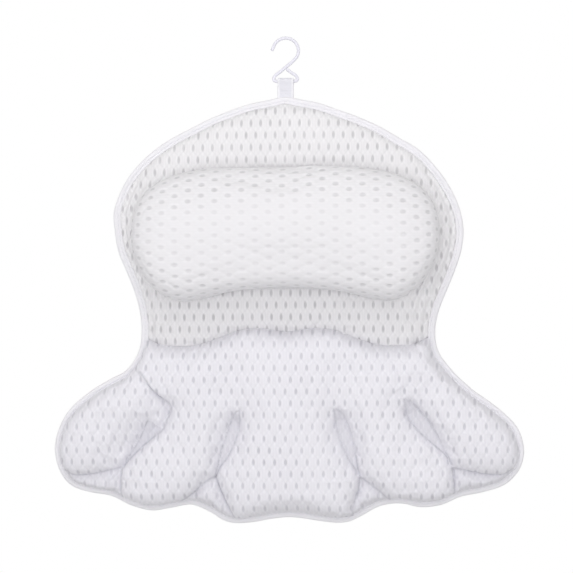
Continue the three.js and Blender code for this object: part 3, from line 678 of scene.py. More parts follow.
@dataclass(frozen=True)
class AirMesh:
    """Thick open knit: plump cells between staggered slots, parted by a net of grooves.

    Shades are shares of the way from the thread's colour to the hollow's: painted shade in the
    slots and along the net's grooves, less a painted highlight round each slot, plus some tone at
    random.
    """

    name: str
    thread: Colour = (0.84, 0.835, 0.845)
    hollow: Colour = (0.42, 0.41, 0.43)
    pitch: float = 8.85
    row: float = 11.05
    slot_width: float = 2.3
    slot_length: float = 6.2
    slot_depth: float = 0.6
    cell_height: float = 0.16
    net_depth: float = 0.35
    slot_shade: float = 0.46
    net_shade: float = 0.085
    ring_highlight: float = 0.1
    strand: float = 0.05
    across: bool = False  # whether the slots run across the pad
    calm: Optional[tuple[float, float, float, float]] = None  # a quieter patch: x, z and reach
    shade_tint: Optional[Colour] = None  # painted shade colour for the creases, lenses and low corners between the lobes

    NET_REACH = 1.8
    LOOP_WIDTH, LOOP_LENGTH, LOOP_HEIGHT = 1.1, 1.3, 0.08
    HOLE_DEPTH = 0.6
    STRANDS, STRAND_SHADE = 4, 0.02
    CLOUD_SHADE = 0.07
    RELIEF_DISTANCE = 0.0007

    def net_slope(self) -> tuple[float, float]:
        """Share of a row that a net line leans over, and the scale to its true distance."""
        lean = 0.5 - self.slot_length / (2 * self.row)
        rise = 4 * lean * self.row / self.pitch
        return lean, self.row / math.sqrt(1 + rise**2)

    def relief(self, flat: Points) -> np.ndarray:
        """Height of the knit's surface at places of the fabric, in millimetres."""
        u, v = flat.T[::-1] if self.across else flat.T
        aside = np.abs((u / self.pitch + 0.5) % 1 - 0.5)
        up = np.abs((v / self.row + 1) % 2 - 1)
        wide, tall = self.slot_width * 0.75, self.slot_length * 0.6
        slot = np.minimum(*(
            (a * self.pitch / wide) ** 2 + (b * self.row / tall) ** 2
            for a, b in ((aside, up), (0.5 - aside, 1 - up))
        ))
        lean, scale = self.net_slope()
        net = np.abs(up - 0.5 - lean * (4 * aside - 1)) * scale
        plump = np.clip(net / self.NET_REACH, 0, 1) ** 0.7
        return self.cell_height * plump - self.slot_depth * np.exp(-slot)

    def material(self) -> Material:
        """The knit's material, with its slots, net, strands and fine loops."""
        n = Nodes.of_material(self.name)
        x, z = n.fabric()
        u, v = (z, x) if self.across else (x, z)
        cloud = n.noise(22.0)
        # Painted shade in the creases and lenses, read from a mesh attribute; the slots are hidden
        # where it is strong.
        painted_shade = n.node("ShaderNodeAttribute", attribute_name="painted_shade").outputs["Fac"]
        aside = n.math("PINGPONG", u / self.pitch, 0.5)
        up = n.math("PINGPONG", v / self.row, 1.0)
        per_width, per_length = self.pitch * 2 / self.slot_width, self.row * 2 / self.slot_length
        far = n.math("MINIMUM", *(
            (a * per_width) ** 2.0 + (b * per_length) ** 2.0
            for a, b in ((aside, up), (0.5 - aside, 1.0 - up))
        ))
        closed = n.math("SUBTRACT", 1.0, n.math("MULTIPLY", painted_shade, 2.2), clamp=True)
        # Painted shade in the slots, stronger or weaker at random.
        hole = (1.0 - n.step(far, 0.0, 1.7)) * closed * (cloud * 1.2 + 0.4)
        # Painted highlight: the thread is lighter in a ring round each slot.
        ring = n.step(far, 1.0, 2.2) * (1.0 - n.step(far, 2.6, 8.0))
        lean, scale = self.net_slope()
        off = n.math("ABSOLUTE", up - 0.5 - (aside * 4.0 - 1.0) * lean) * scale
        # Painted shade along the net's grooves.
        net = 1.0 - n.step(off, 0.1, 1.25)
        strands = n.math("COSINE", u * (math.tau * self.STRANDS / self.pitch))
        loops = (n.math("SINE", u * (math.tau / self.LOOP_WIDTH))
                 * n.math("SINE", v * (math.tau / self.LOOP_LENGTH)))
        height = (loops * self.LOOP_HEIGHT - hole * self.HOLE_DEPTH
                  + n.step(off, 0.2, 2.6) * self.net_depth + strands * self.strand)
        shade = (hole * self.slot_shade + net * self.net_shade - ring * self.ring_highlight
                 - strands * self.STRAND_SHADE)
        # A patch where the painted shade and the relief are weaker.
        if self.calm is not None:
            middle_x, middle_z, wide, tall = self.calm
            out = ((x - middle_x) / wide) ** 2.0 + ((z - middle_z) / tall) ** 2.0
            loud = n.step(out, 0.5, 1.5) * 0.6 + 0.4
            shade, height = shade * loud, height * loud
        shade = n.math("ADD", shade + self.ring_highlight, cloud * self.CLOUD_SHADE,
                       clamp=True)
        colour = n.mix(shade, self.thread, self.hollow)
        # Painted shade: the colour is darkened towards the tint where the attribute is set.
        if self.shade_tint is not None:
            inputs = {"Factor": painted_shade, 6: colour, 7: (*self.shade_tint, 1)}
            darker = n.node("ShaderNodeMix", inputs, data_type="RGBA", blend_type="MULTIPLY")
            colour = darker.outputs[2]
        return n.surface(Base_Color=colour, Roughness=0.88, Sheen_Weight=0.2,
                         Sheen_Roughness=0.45, Normal=n.bump(height, self.RELIEF_DISTANCE))


def smooth_knit(name: str, colour: Colour, shadow: Colour) -> Material:
    """Plain fine knit with ribs along the fabric, as on the binding and the cord."""
    n = Nodes.of_material(name)
    across, up = (n.math("SINE", place * (math.tau / 0.9)) for place in n.fabric())
    worn = n.noise(60.0, 4.0)
    return n.surface(Base_Color=n.mix(worn * 0.5, colour, shadow), Roughness=0.8,
                     Sheen_Weight=0.2, Sheen_Roughness=0.4,
                     Normal=n.bump(up * across + worn * 1.5, 0.00005))


def woven_tape(width: float) -> Material:
    """Ribbed tape, darker between its two firm edges."""
    n = Nodes.of_material("ribbed_tape")
    across, up = n.fabric()
    edge = n.step(n.math("ABSOLUTE", across), width * 0.3, width * 0.42)
    picks = n.math("SINE", up * (math.tau / 0.8))
    ends = n.math("SINE", across * math.tau)
    return n.surface(Base_Color=n.mix(edge, (0.76, 0.76, 0.81), (0.84, 0.84, 0.87)),
                     Roughness=0.7, Sheen_Weight=0.15,
                     Normal=n.bump(picks * (ends + 1.6), 0.00004))


def fibre_fill() -> Material:
    """Loose polyester fibre with tangled strands."""
    n = Nodes.of_material("polyester_fibre")
    tufts, strands = n.noise(90.0, 6.0), n.noise(700.0, 3.0)
    return n.surface(Base_Color=n.mix(tufts * 0.6, (0.86, 0.86, 0.85), (0.72, 0.72, 0.71)),
                     Roughness=1.0, Sheen_Weight=0.4,
                     Normal=n.bump(tufts + strands * 0.3, 0.0012))


def grained(name: str, scale: float, detail: float, light: Colour, dark: Colour, bump: float,
            roughness: float, uneven: float = 0.0, **more) -> Material:
    """A smooth material with a faint grain in its colour, its gloss and its surface."""
    n = Nodes.of_material(name)
    grain = n.noise(scale, detail)
    gloss = grain * uneven + roughness if uneven else roughness
    return n.surface(Base_Color=n.mix(grain, light, dark), Roughness=gloss,
                     Normal=n.bump(grain, bump), **more)


def sewing_thread() -> Material:
    """Twisted polyester thread."""
    n = Nodes.of_material("sewing_thread")
    inputs = {"Vector": n.node("ShaderNodeTexCoord").outputs["Object"], "Scale": 900.0}
    wave = n.node("ShaderNodeTexWave", inputs, bands_direction="DIAGONAL")
    twist = wave.outputs["Fac"]
    return n.surface(Base_Color=n.mix(twist, (0.84, 0.84, 0.87), (0.66, 0.66, 0.71)),
                     Roughness=0.55, Normal=n.bump(twist, 0.00008))


# ---------------------------------------------------------------- stuffed fabric

@dataclass
class Sewn:
    """A line where the fabric is sewn down, to shares of the panel's full height."""

    line: Sequence
    first: float
    last: float
    fade: float = 0.0

    def share(self, step: float) -> tuple[Points, np.ndarray]:
        """Corners of the line, and the share of the full height at each."""
        corners = curved(self.line, step)
        along = length_along(corners)
        t = np.clip(along / (self.fade or along[-1]), 0, 1)
        return corners, self.first + (self.last - self.first) * t


@dataclass
class StuffedPanel:
    """A panel of fabric, stuffed from behind and held down along its seams."""

    name: str
    outline: Points
    height: float
    edge: float = 1.5
    reach: float = 15.0
    power: float = 0.6
    spacing: float = 4.0
    facing: int = -1
    seams: list[Sewn] = field(default_factory=list)
    flats: list[Points] = field(default_factory=list)
    holes: list[tuple[float, float, float]] = field(default_factory=list)
    shape: Optional[Height] = None
    rim_share: Optional[Height] = None

    FLAT_RISE = 0.03
    HOLE_SHARE = 0.87
    SWEEPS = 700

    def build(self) -> Piece:
        """Makes the coarse fabric, lifted by its stuffing.

        Returns:
            The object, an open surface with its sewn corners in the group "sewn".
        """
        plan, triangles, fixed, value, creases = self._plan()
        tall = self.edge + (self.height - self.edge) * self._lift(plan, triangles, fixed, value)
        if self.shape is not None:
            tall = tall * self.shape(plan[:, 0], plan[:, 1])
        points = np.column_stack([plan[:, 0], self.facing * tall, plan[:, 1]])
        piece = new_object(self.name, points,
                           triangles[:, ::-1] if self.facing > 0 else triangles)
        group = piece.vertex_groups.new(name="sewn")
        group.add([int(i) for i in np.flatnonzero(fixed)], 1.0, "REPLACE")
        if creases:
            self._mark_creases(piece, np.vstack(creases))
        LOG.info("%s: %d corners before smoothing", self.name, len(points))
        return piece

    def _plan(self) -> tuple:
        """Lays out the panel as triangles whose sides follow every seam."""
        step = self.spacing
        rim = spaced(self.outline, step, closed=True)
        at_rim = 0.0 if self.rim_share is None else self.rim_share(rim[:, 0], rim[:, 1])
        loops = [(rim, at_rim)]
        loops += [(circle(radius, 14) + [x, z], self.HOLE_SHARE) for x, z, radius in self.holes]
        seams = [seam.share(step) for seam in self.seams]
        drawn, edges, shares = np.empty((0, 2)), [], []
        for number, (line, share) in enumerate(loops + seams):
            start, count = len(drawn), len(line)
            drawn = np.vstack([drawn, line])
            shares += np.broadcast_to(share, count).tolist()
            edges += [(start + i, start + (i + 1) % count)
                      for i in range(count if number < len(loops) else count - 1)]
        low, high = rim.min(0), rim.max(0)
        grid = np.array([
            (x, z)
            for i, z in enumerate(np.arange(low[1], high[1], step * math.sqrt(3) / 2))
            for x in np.arange(low[0] + (i % 2) * step / 2, high[0], step)
        ])
        grid = grid[inside(grid, rim)]
        grid = grid[distance_to(grid, drawn) > 0.62 * step]
        corners = [Vector(p) for p in np.vstack([drawn, grid])]
        result = geometry.delaunay_2d_cdt(corners, edges, [], 0, 1e-4)
        plan = np.array([tuple(v) for v in result[0]])
        triangles = np.array([tuple(f) for f in result[2]])
        middle = plan[triangles].mean(1)
        keep = inside(middle, rim)
        for x, z, radius in self.holes:
            keep &= np.hypot(middle[:, 0] - x, middle[:, 1] - z) > radius * 0.97
        triangles = triangles[keep]
        fixed, value = np.zeros(len(plan), bool), np.zeros(len(plan))
        for i, sources in enumerate(result[3]):
            held = [shares[s] for s in sources if s < len(shares)]
            if held:
                fixed[i], value[i] = True, min(held)
        sewn = np.flatnonzero(fixed)
        for loop in self.flats:
            within = np.flatnonzero(inside(plan, loop) & ~fixed)
            value[within] = value[sewn[nearest(plan[within], plan[sewn])]] + self.FLAT_RISE
            fixed[within] = True
        used = np.zeros(len(plan), bool)
        used[triangles.ravel()] = True
        a, b, c = (plan[triangles[:, k]] for k in range(3))
        turn = ((b[:, 0] - a[:, 0]) * (c[:, 1] - a[:, 1])
                - (b[:, 1] - a[:, 1]) * (c[:, 0] - a[:, 0]))
        triangles = np.where((turn < 0)[:, None], triangles[:, ::-1], triangles)
        creases = [line for line, _ in seams]
        return plan[used], (np.cumsum(used) - 1)[triangles], fixed[used], value[used], creases

    def _lift(self, plan: Points, triangles: Points, fixed: np.ndarray,
              value: np.ndarray) -> np.ndarray:
        """How far the stuffing lifts each corner: 0 at a seam, 1 well away from one."""
        sides = np.vstack([triangles[:, [0, 1]], triangles[:, [1, 2]], triangles[:, [2, 0]]])
        pairs = np.unique(np.sort(sides, axis=1), axis=0)
        one, other = np.concatenate([pairs, pairs[:, ::-1]]).T
        degree = np.bincount(one, minlength=len(plan))
        pull = self.spacing**2 / (4 * self.reach**2)
        held = value ** (1 / self.power)
        lift = np.where(fixed, held, 0.7)
        for _ in range(self.SWEEPS):
            mean = np.bincount(one, weights=lift[other], minlength=len(plan)) / degree
            lift = np.where(fixed, held, (mean + pull) / (1 + pull))
        return np.clip(lift, 0, 1) ** self.power

    def _mark_creases(self, piece: Piece, lines: Points) -> None:
        """Keeps the fabric sharp along its seams when it is smoothed."""
        near = distance_to(plan_of(piece), lines) < 0.05
        edges = piece.data.edges
        ends = np.empty(len(edges) * 2, int)
        edges.foreach_get("vertices", ends)
        layer = piece.data.attributes.new("crease_edge", "FLOAT", "EDGE")
        layer.data.foreach_set("value", near[ends.reshape(-1, 2)].all(axis=1) * 0.85)


def inflate(piece: Piece, cap: float, shrink: float = -0.03,
            frames: int = 20) -> None:
    """Swells a fabric by cloth simulation and keeps the result.

    Args:
        piece: Fabric with its held corners in the group "sewn".
        cap: Most that a corner may move, in millimetres.
        shrink: How much smaller the fabric is cut. A negative share is fullness.
        frames: Length of the simulation.
    """
    before = coordinates(piece.data)
    modifier = piece.modifiers.new("Stuffing", "CLOTH")
    settings = {
        "quality": 5, "mass": 0.12, "tension_stiffness": 12, "compression_stiffness": 12,
        "shear_stiffness": 6, "bending_stiffness": 0.4, "vertex_group_mass": "sewn",
        "shrink_min": shrink, "use_pressure": True, "uniform_pressure_force": 4.0,
    }
    for key, value in settings.items():
        setattr(modifier.settings, key, value)
    modifier.settings.effector_weights.gravity = 0
    modifier.collision_settings.use_collision = False
    modifier.collision_settings.use_self_collision = False
    modifier.point_cache.frame_start, modifier.point_cache.frame_end = 1, frames
    scene = bpy.context.scene
    for number in range(1, frames + 1):
        scene.frame_set(number)
    graph = bpy.context.evaluated_depsgraph_get()
    moved = coordinates(piece.evaluated_get(graph).data) - before
    piece.modifiers.remove(modifier)
    scene.frame_set(1)
    far = np.linalg.norm(moved, axis=1, keepdims=True)
    limit = cap * MM
    moved *= np.where(far > 1e-9, limit * np.tanh(far / limit) / np.maximum(far, 1e-9), 0)
    set_coordinates(piece.data, before + moved)
    LOG.info("%s: moved %.1f mm at most, %.1f mm on average", piece.name, far.max() / MM,
             far.mean() / MM)


def knitted(piece: Piece, finish: AirMesh, flat: Points, rim: Points,
            back: float) -> None:
    """Gives an open panel the relief of its knit, and closes it behind.

    Args:
        piece: The open panel, finely divided.
        finish: The knit that it is made of.
        flat: Where each corner lies on the flat fabric.
        rim: The panel's edge, where the relief fades out.
        back: Level of the closing face.
    """
    data = piece.data
    fade = np.clip(distance_to(plan_of(piece), spaced(rim, 2.0, True)) / 5.0, 0, 1)
    raised = coordinates(data, "normal") * (finish.relief(flat) * fade * MM)[:, None]
    set_coordinates(data, coordinates(data) + raised)
    closed_behind(piece, back)


def knit_panel(piece: Piece, finish: AirMesh, rim: Points, levels: int,
               back: float) -> None:
    """Smooths an open panel, knits it, closes it behind and lays its fabric from the front."""
    refined(piece, levels)
    knitted(piece, finish, plan_of(piece), rim, back)
    lay_fabric(piece, plan_of(piece))


# ---------------------------------------------------------------- sub-assemblies

@dataclass
class Hanger:
    """The wire hook and the tape that holds it."""

    wire: float = 3.0
    radius: float = 11.8
    bar_drop: float = 38.4
    bar_half: float = 10.8
    tip_flare: float = 1.2
    corner: float = 2.2
    tape_width: float = 15.0
    tape_thickness: float = 1.2
    gap: float = 0.3
    tape_foot: float = -57.5
    stitch_rows: tuple[float, float] = (-47.0, -50.2)

    def route(self) -> Points:
        """The wire's line from its tip to the end of its brace."""
        bar, half, bend = -self.bar_drop, self.bar_half, self.corner
        centre = self.wire / 2 - self.radius
        points = [(-self.radius - self.tip_flare, centre)]
        for angle in math.pi * np.linspace(0.93, -0.14, 13):
            points.append((self.radius * math.cos(angle), centre + self.radius * math.sin(angle)))
        high = np.array([self.radius * 0.52, centre - self.radius * 0.86])
        side = half - bend / 3
        low = np.array([-side, bar + 2 * bend])
        points += [tuple(high + (low - high) * t) for t in (0, 1 / 3, 2 / 3, 1)]
        points += [(-half, bar + bend / 2), (-half + bend, bar), (0, bar), (half - bend, bar),
                   (half, bar + bend / 2)]
        foot = low * [-1, 1]
        way = high + (low - high) * 0.42 - foot
        reach = np.linalg.norm(way)
        stop = reach - self.wire * 0.55
        points += [tuple(foot + way / reach * stop * t) for t in (0, 0.5, 1)]
        return curved(points, WIRE_STEP)

    def hook(self) -> Piece:
        """The wire hook with rounded ends."""
        path = upright(self.route())
        end = np.arange(len(path)) * WIRE_STEP
        near = np.clip(np.minimum(end, end[::-1]), 0, 1)
        taper = np.sqrt(np.clip(1 - (1 - near) ** 2, 0.05, 1))
        section = circle(self.wire / 2, 20) * taper[:, None, None]
        return new_solid("hook_wire", swept(path, np.cross(directions(path), DEPTHWAYS),
                                            DEPTHWAYS, section))

    def tape(self) -> Piece:
        """The tape folded over the hook's bar, its two ends together."""
        half = self.tape_thickness / 2
        mid = self.wire / 2 + self.gap + half
        straight = -self.bar_drop - 2 * mid - 1.5
        leg = [(half, self.tape_foot), (half, (self.tape_foot + straight) / 2),
               (half, straight), (half + 0.25, straight + 1.5)]
        bend = [(math.cos(angle) * mid, -self.bar_drop + math.sin(angle) * mid)
                for angle in math.pi * np.linspace(1.2, -0.2, 13)]
        run = curved([(-y, z) for y, z in leg] + bend + leg[::-1], TAPE_STEP)
        path = np.column_stack([np.zeros(len(run)), run])
        widthways = (1.0, 0.0, 0.0)
        x = np.concatenate([np.linspace(-1, 1, 31), np.linspace(1, -1, 31)[1:-1]])
        firm = np.exp(-((np.abs(x) - 0.9) / 0.08) ** 2) * 0.16
        groove = np.exp(-((np.abs(x) - 0.76) / 0.05) ** 2) * 0.14
        thick = half * np.sqrt(np.clip(1 - x**12, 0.12, 1)) + firm - groove
        top = np.arange(len(x)) < 31
        section = np.column_stack([x * self.tape_width / 2, np.where(top, thick, -thick)])
        solid = swept(path, widthways, np.cross(widthways, directions(path)), section)
        piece = new_solid("webbing_loop", solid)
        distance = np.repeat(np.arange(len(path)) * TAPE_STEP, len(section))
        lay_fabric(piece, np.column_stack([solid[0][:, 0], distance]))
        return piece

    def tape_stitches(self) -> Piece:
        """Two rows of stitches that close the loop above the pad, front and back."""
        x = np.linspace(-6.4, 6.4, 60)
        rows = []
        for z in self.stitch_rows:
            for side in (-1.0, 1.0):
                line = upright(np.column_stack([x, np.full(60, z)]), side * self.tape_thickness)
                rows.append(stitches(line, (0.0, side, 0.0), 2.1, 1.7, 0.24))
        return new_object("webbing_stitches", *joined(rows))

    def build(self) -> None:
        """Builds and dresses the hook, the tape and its stitches."""
        hook = dressed(self.hook(), grained(
            "white_coated_wire", 60.0, 2.0, (0.77, 0.765, 0.83), (0.72, 0.715, 0.78), 0.00002,
            0.4, 0.1, Specular_IOR_Level=0.3))
        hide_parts("wire_hook")
        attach(hook, "hook")
        tape = dressed(self.tape(), woven_tape(self.tape_width))
        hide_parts("hanging_loop")
        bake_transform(tape)
        thread = dressed(self.tape_stitches(), sewing_thread())
        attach(thread, "loop")
        LOG.info("hanger: hook_wire, webbing_loop, webbing_stitches")


@dataclass
class EdgeBinding:
    """The bound and piped edge all round the pad."""

    pitch: float = 3.6
    groove: tuple[float, float] = (4.3, 2.15)

    def build(self) -> None:
        """Builds and dresses the binding and its row of stitches."""
        loop = pad_outline()
        path, inward = upright(loop), -upright(outward(loop))
        along = np.arange(len(loop)) * OUTLINE_STEP
        pucker = (1 + 0.035 * np.sin(along / self.pitch * math.tau)
                  + 0.03 * np.sin(along / 23.0) * np.sin(along / 9.1))
        front = np.array(BINDING_HALF)
        section = np.vstack([front, front[::-1][:-1] * [1, -1]])
        sections = section * np.column_stack([np.ones(len(loop)), pucker])[:, None]
        piece = new_solid("edge_binding", swept(path, inward, DEPTHWAYS, sections, True))
        lay_along(piece, len(section), len(loop), OUTLINE_STEP)
        knit = smooth_knit("bound_edge_knit", (0.85, 0.845, 0.87), (0.80, 0.795, 0.825))
        settled(piece, knit, "edge_binding", "head_edge_piping", "shoulder_edge_piping")
        settled(self.thread(path, inward), sewing_thread(), "edge_binding")
        LOG.info("edge: edge_binding, binding_stitches")

    def thread(self, path: Points, inward: Points) -> Piece:
        """Stitches in the groove of the binding, front and back."""
        rows, (deep, high) = [], self.groove
        for side in (-1.0, 1.0):
            line = path + inward * deep + np.array([0, side * high, 0])
            rows.append(stitches(np.vstack([line, line[:1]]), (0.0, side, 0.0), self.pitch,
                                 2.7, 0.22))
        return new_object("binding_stitches", *joined(rows))


@dataclass
class HeadRest:
    """The head panel and the cushion sewn to it."""

    panel_height: float = 14.0
    depth: float = 58.0
    inset: float = 6.6
    cord_inset: float = 5.4
    cord_radius: float = 1.7

    def panel_shape(self, x: np.ndarray, z: np.ndarray) -> np.ndarray:
        """Share of the height left by the folds beside the cushion."""
        away = distance_to(np.column_stack([x, z]), drawn_in(pad_outline(), self.inset))
        beside = np.clip((np.abs(x) - 95) / 35, 0, 1) * np.clip((-z - 110) / 30, 0, 1)
        waves = 0.32 * np.cos(away / 8.0 * math.tau) * np.exp(-away / 18)
        return 1 + (waves - 0.28 * np.exp(-((away - 6) / 6) ** 2)) * beside

    def panel(self) -> Piece:
        """The stuffed head panel."""
        finish = AirMesh("air_mesh_front")
        rim = part_rim(self.inset, True, 0.4)
        piece = StuffedPanel(
            "head_panel", rim, self.panel_height, edge=2.2, reach=9.0, spacing=PANEL_STEP,
            shape=self.panel_shape, rim_share=lambda x, z: 0.66 * along_neck(x, z),
        ).build()
        inflate(piece, 1.2)
        points = coordinates(piece.data)
        under = inside(plan_of(piece), curved(mirrored(CUSHION_HALF), 4.0, True))
        points[under, 1] = np.maximum(points[under, 1], -self.panel_height * MM)
        set_coordinates(piece.data, points)
        knit_panel(piece, finish, rim, 1, -0.2)
        return settled(piece, finish.material(), "air_mesh_front", "head_front_cover", fill=0.6)

    def cushion_loop(self) -> Points:
        """The cushion's widest outline."""
        return against_clock(curved(mirrored(CUSHION_HALF), 3.0, True) * [0.992, 1] + [1.0, 0])

    def cushion(self) -> Piece:
        """The thick cushion, bulging past its own seam.

        Its fabric is planned flat, with the sides folded out, and then drawn over the
        cushion's section.
        """
        widest = self.cushion_loop()
        upper, lower = np.array(UPPER_SIDE, float), np.array(LOWER_SIDE, float)
        along = length_along((upper + lower) / 2)
        inner = -(upper + lower)[-1][0] / 2
        folded_out = along[-1] - inner
        piece = StuffedPanel("head_cushion", drawn_in(widest, -folded_out), 1.0, edge=0.0,
                             power=1.0, spacing=CUSHION_STEP).build()
        flat = plan_of(piece)
        fine = spaced(widest, 0.5, True)
        near = nearest(flat, fine)
        foot, normal = fine[near], outward(fine)[near]
        aside = np.einsum("ij,ij->i", flat - foot, normal)
        step = folded_out - aside
        top = np.clip(0.5 + 0.75 * normal[:, 1], 0, 1)
        out, high = (np.interp(step, along, upper[:, k]) * top
                     + np.interp(step, along, lower[:, k]) * (1 - top) for k in (0, 1))
        deep = np.clip((-aside - inner) / (60 - inner), 0, 1)
        proud = high + (self.depth - high) * (1 - (1 - deep) ** 2)
        place = np.where((step > along[-1])[:, None], flat, foot + normal * out[:, None])
        points = np.column_stack([place[:, 0], -self.panel_height - proud, place[:, 1]])
        set_coordinates(piece.data, points * MM)
        lay_fabric(piece, flat)
        inflate(piece, 1.5, -0.02)
        refined(piece, 1)
        return piece

    def build(self) -> None:
        """Builds and dresses the head panel, the cushion and what fills them."""
        panel = self.panel()
        finish = AirMesh("air_mesh_cushion", thread=(0.81, 0.805, 0.82), pitch=10.3, row=11.9,
                         slot_width=3.4, slot_length=5.2, slot_depth=0.5, cell_height=0.18,
                         net_depth=0.2, net_shade=0.02, slot_shade=0.33, ring_highlight=0.07,
                         strand=0.0, across=True, calm=(0.0, -184.0, 120.0, 42.0))
        cushion = self.cushion()
        core = self.filling(cushion)
        knitted(cushion, finish, fabric_of(cushion), self.cushion_loop(),
                -self.panel_height + 0.4)
        settled(cushion, finish.material(), "air_mesh_cushion", "head_cushion_cover",
                body="head", fill=0.9)
        cord = self.seam_cord()
        LOG.info("head: %s, %s, %s, %s", panel.name, cushion.name, core.name, cord.name)

    def filling(self, cushion: Piece) -> Piece:
        """The fibre inside the cushion, a little smaller than its cover."""
        piece = linked("head_cushion_fibre", cushion.data.copy())
        level = -self.panel_height - 0.3
        points = coordinates(piece.data)
        lumps = np.sin(points[:, 0] * 210) * np.sin(points[:, 2] * 240 + 1.3)
        points -= coordinates(piece.data, "normal") * ((4.2 + 0.5 * lumps) * MM)[:, None]
        points[:, 1] = np.minimum(points[:, 1], level * MM)
        set_coordinates(piece.data, points)
        changed(piece, "DECIMATE", ratio=0.12)
        closed_behind(piece, level)
        return settled(piece, fibre_fill(), "fibre_fill", "head_cushion_filling",
                       "head_panel_filling", body="head", fill=0.9)

    def seam_cord(self) -> Piece:
        """The slender cord round the cushion's seam."""
        loop = drawn_in(spaced(self.cushion_loop(), CORD_STEP, True), self.cord_inset)
        piece = new_solid("cushion_seam_cord", swept(
            upright(loop, -self.panel_height - 0.6), upright(outward(loop)), DEPTHWAYS,
            circle(self.cord_radius, 12), True,
        ))
        lay_along(piece, 12, len(loop), CORD_STEP)
        knit = smooth_knit("seam_cord_knit", (0.86, 0.86, 0.89), (0.78, 0.78, 0.82))
        return settled(piece, knit, "edge_binding", "head_cushion_seam_cord", body="head")


@dataclass
class ShoulderRest:
    """The lobed shoulder part of the pad."""

    lobe_height: float = 31.0
    inset: float = 4.9
    # Strengths of the painted shade in the lenses, the low corners between the feet and along the
    # seam lines.
    lens_shade: float = 0.36
    foot_shade: float = 0.14
    seam_shade: float = 0.5

    def seams(self) -> list[Sewn]:
        """The lines that part the lobes, and those between their feet."""
        lines = [Sewn(line, 0.80, 0.48, 14) for line in
                 (LEFT_INNER, LEFT_LENS, RIGHT_INNER, RIGHT_LENS, RIGHT_OUTER,
                  RIGHT_OUTER_LENS)]
        lines += [Sewn(LEFT_OUTER_LENS, 0.6, 0.48, 12), Sewn(LEFT_OUTER, 0.97, 0.48, 55)]
        feet = [Sewn(line, 0.5, 0.42) for line in
                (LEFT_INNER_FOOT, LEFT_LENS_FOOT, RIGHT_INNER_FOOT, RIGHT_LENS_FOOT,
                 WING_FOOT, MIDDLE_FOOT)]
        mirror = [Sewn(flipped(line), 0.56, 0.46) for line in (WING_FOOT, MIDDLE_FOOT)]
        return lines + feet + mirror

    def flats(self) -> list[Points]:
        """The lenses that are sewn flat between the lobes."""
        return [
            np.vstack([LEFT_INNER[1:], LEFT_LENS[:0:-1]]),
            np.vstack([RIGHT_INNER, RIGHT_LENS[:0:-1]]),
            np.vstack([RIGHT_OUTER, RIGHT_OUTER_LENS[:0:-1]]),
            np.vstack([LEFT_OUTER[7:], LEFT_OUTER_LENS[::-1]]),
        ]

    def low(self, place: Points) -> np.ndarray:
        """Which places lie in the low corners between the feet of the lobes."""
        wing = MIDDLE_FOOT + [(154, -440), (240, -440)] + WING_FOOT[::-1]
        left = LEFT_INNER_FOOT + [(-70, -470), (-110, -470)] + LEFT_LENS_FOOT[::-1]
        right = RIGHT_INNER_FOOT + [(75, -470), (110, -470)] + RIGHT_LENS_FOOT[::-1]
        return sum(inside(place, np.array(foot)) for foot in (left, right, wing, flipped(wing)))

    def lobe_shape(self, x: np.ndarray, z: np.ndarray) -> np.ndarray:
        """Share of the height: puckers along the neck, and the slope to the left crease."""
        place = np.column_stack([x, z])
        below = neck_height(x) - z
        puckers = 0.07 * np.cos(x / 9.5 * math.tau) * np.exp(-((below - 2) / 5) ** 2)
        away = distance_to(place, curved(LEFT_OUTER[5:], 2.0))
        outer = inside(place, np.vstack([LEFT_OUTER, [(-230, -460), (-230, -300)]]))
        slope = 0.4 * np.exp(-((away / 25) ** 2)) * outer
        return (1 + puckers - slope) * (1 - 0.2 * self.low(place))

    def paint_crease_shade(self, piece: Piece) -> None:
        """Paints shade into the lenses, the low corners between the feet and along the seam lines,
        as a mesh attribute.
        """
        place = plan_of(piece)
        lenses = sum(inside(place, loop) for loop in self.flats())
        lines = np.vstack([curved(seam.line, 0.4) for seam in self.seams()])
        close = np.exp(-((distance_to(place, lines) / 0.9) ** 2))
        amount = (self.lens_shade * lenses + self.foot_shade * self.low(place)
                  + self.seam_shade * close)
        layer = piece.data.attributes.new("painted_shade", "FLOAT", "POINT")
        layer.data.foreach_set("value", np.clip(amount, 0, 1))

    def build(self) -> None:
        """Builds and dresses the shoulder pad, and hides the CAD fillings that it stands in for.
        """
        # Thread and hollow a little bluer than the head's front mesh: painted lavender light from
        # below.
        finish = AirMesh("air_mesh_shoulder", thread=(0.84, 0.835, 0.875), pitch=9.8,
                         row=10.7, hollow=(0.44, 0.43, 0.49), slot_length=5.4,
                         slot_shade=0.37, shade_tint=(0.62, 0.62, 0.65))
        rim = part_rim(self.inset, False, 0.0)
        piece = StuffedPanel(
            "shoulder_pad", rim, self.lobe_height, edge=2.2, reach=10.0, power=0.4,
            spacing=PANEL_STEP, seams=self.seams(), flats=self.flats(), shape=self.lobe_shape,
            rim_share=lambda x, z: 0.30 * along_neck(x, z),
        ).build()
        inflate(piece, 3.0)
        knit_panel(piece, finish, rim, 1, -0.2)
        self.paint_crease_shade(piece)
        settled(piece, finish.material(), "air_mesh_front", "shoulder_front_cover",
                "left_wing_filling", "left_lobe_filling", "centre_lobe_filling",
                "right_lobe_filling", "right_wing_filling", fill=0.8)
        LOG.info("shoulder: %s", piece.name)


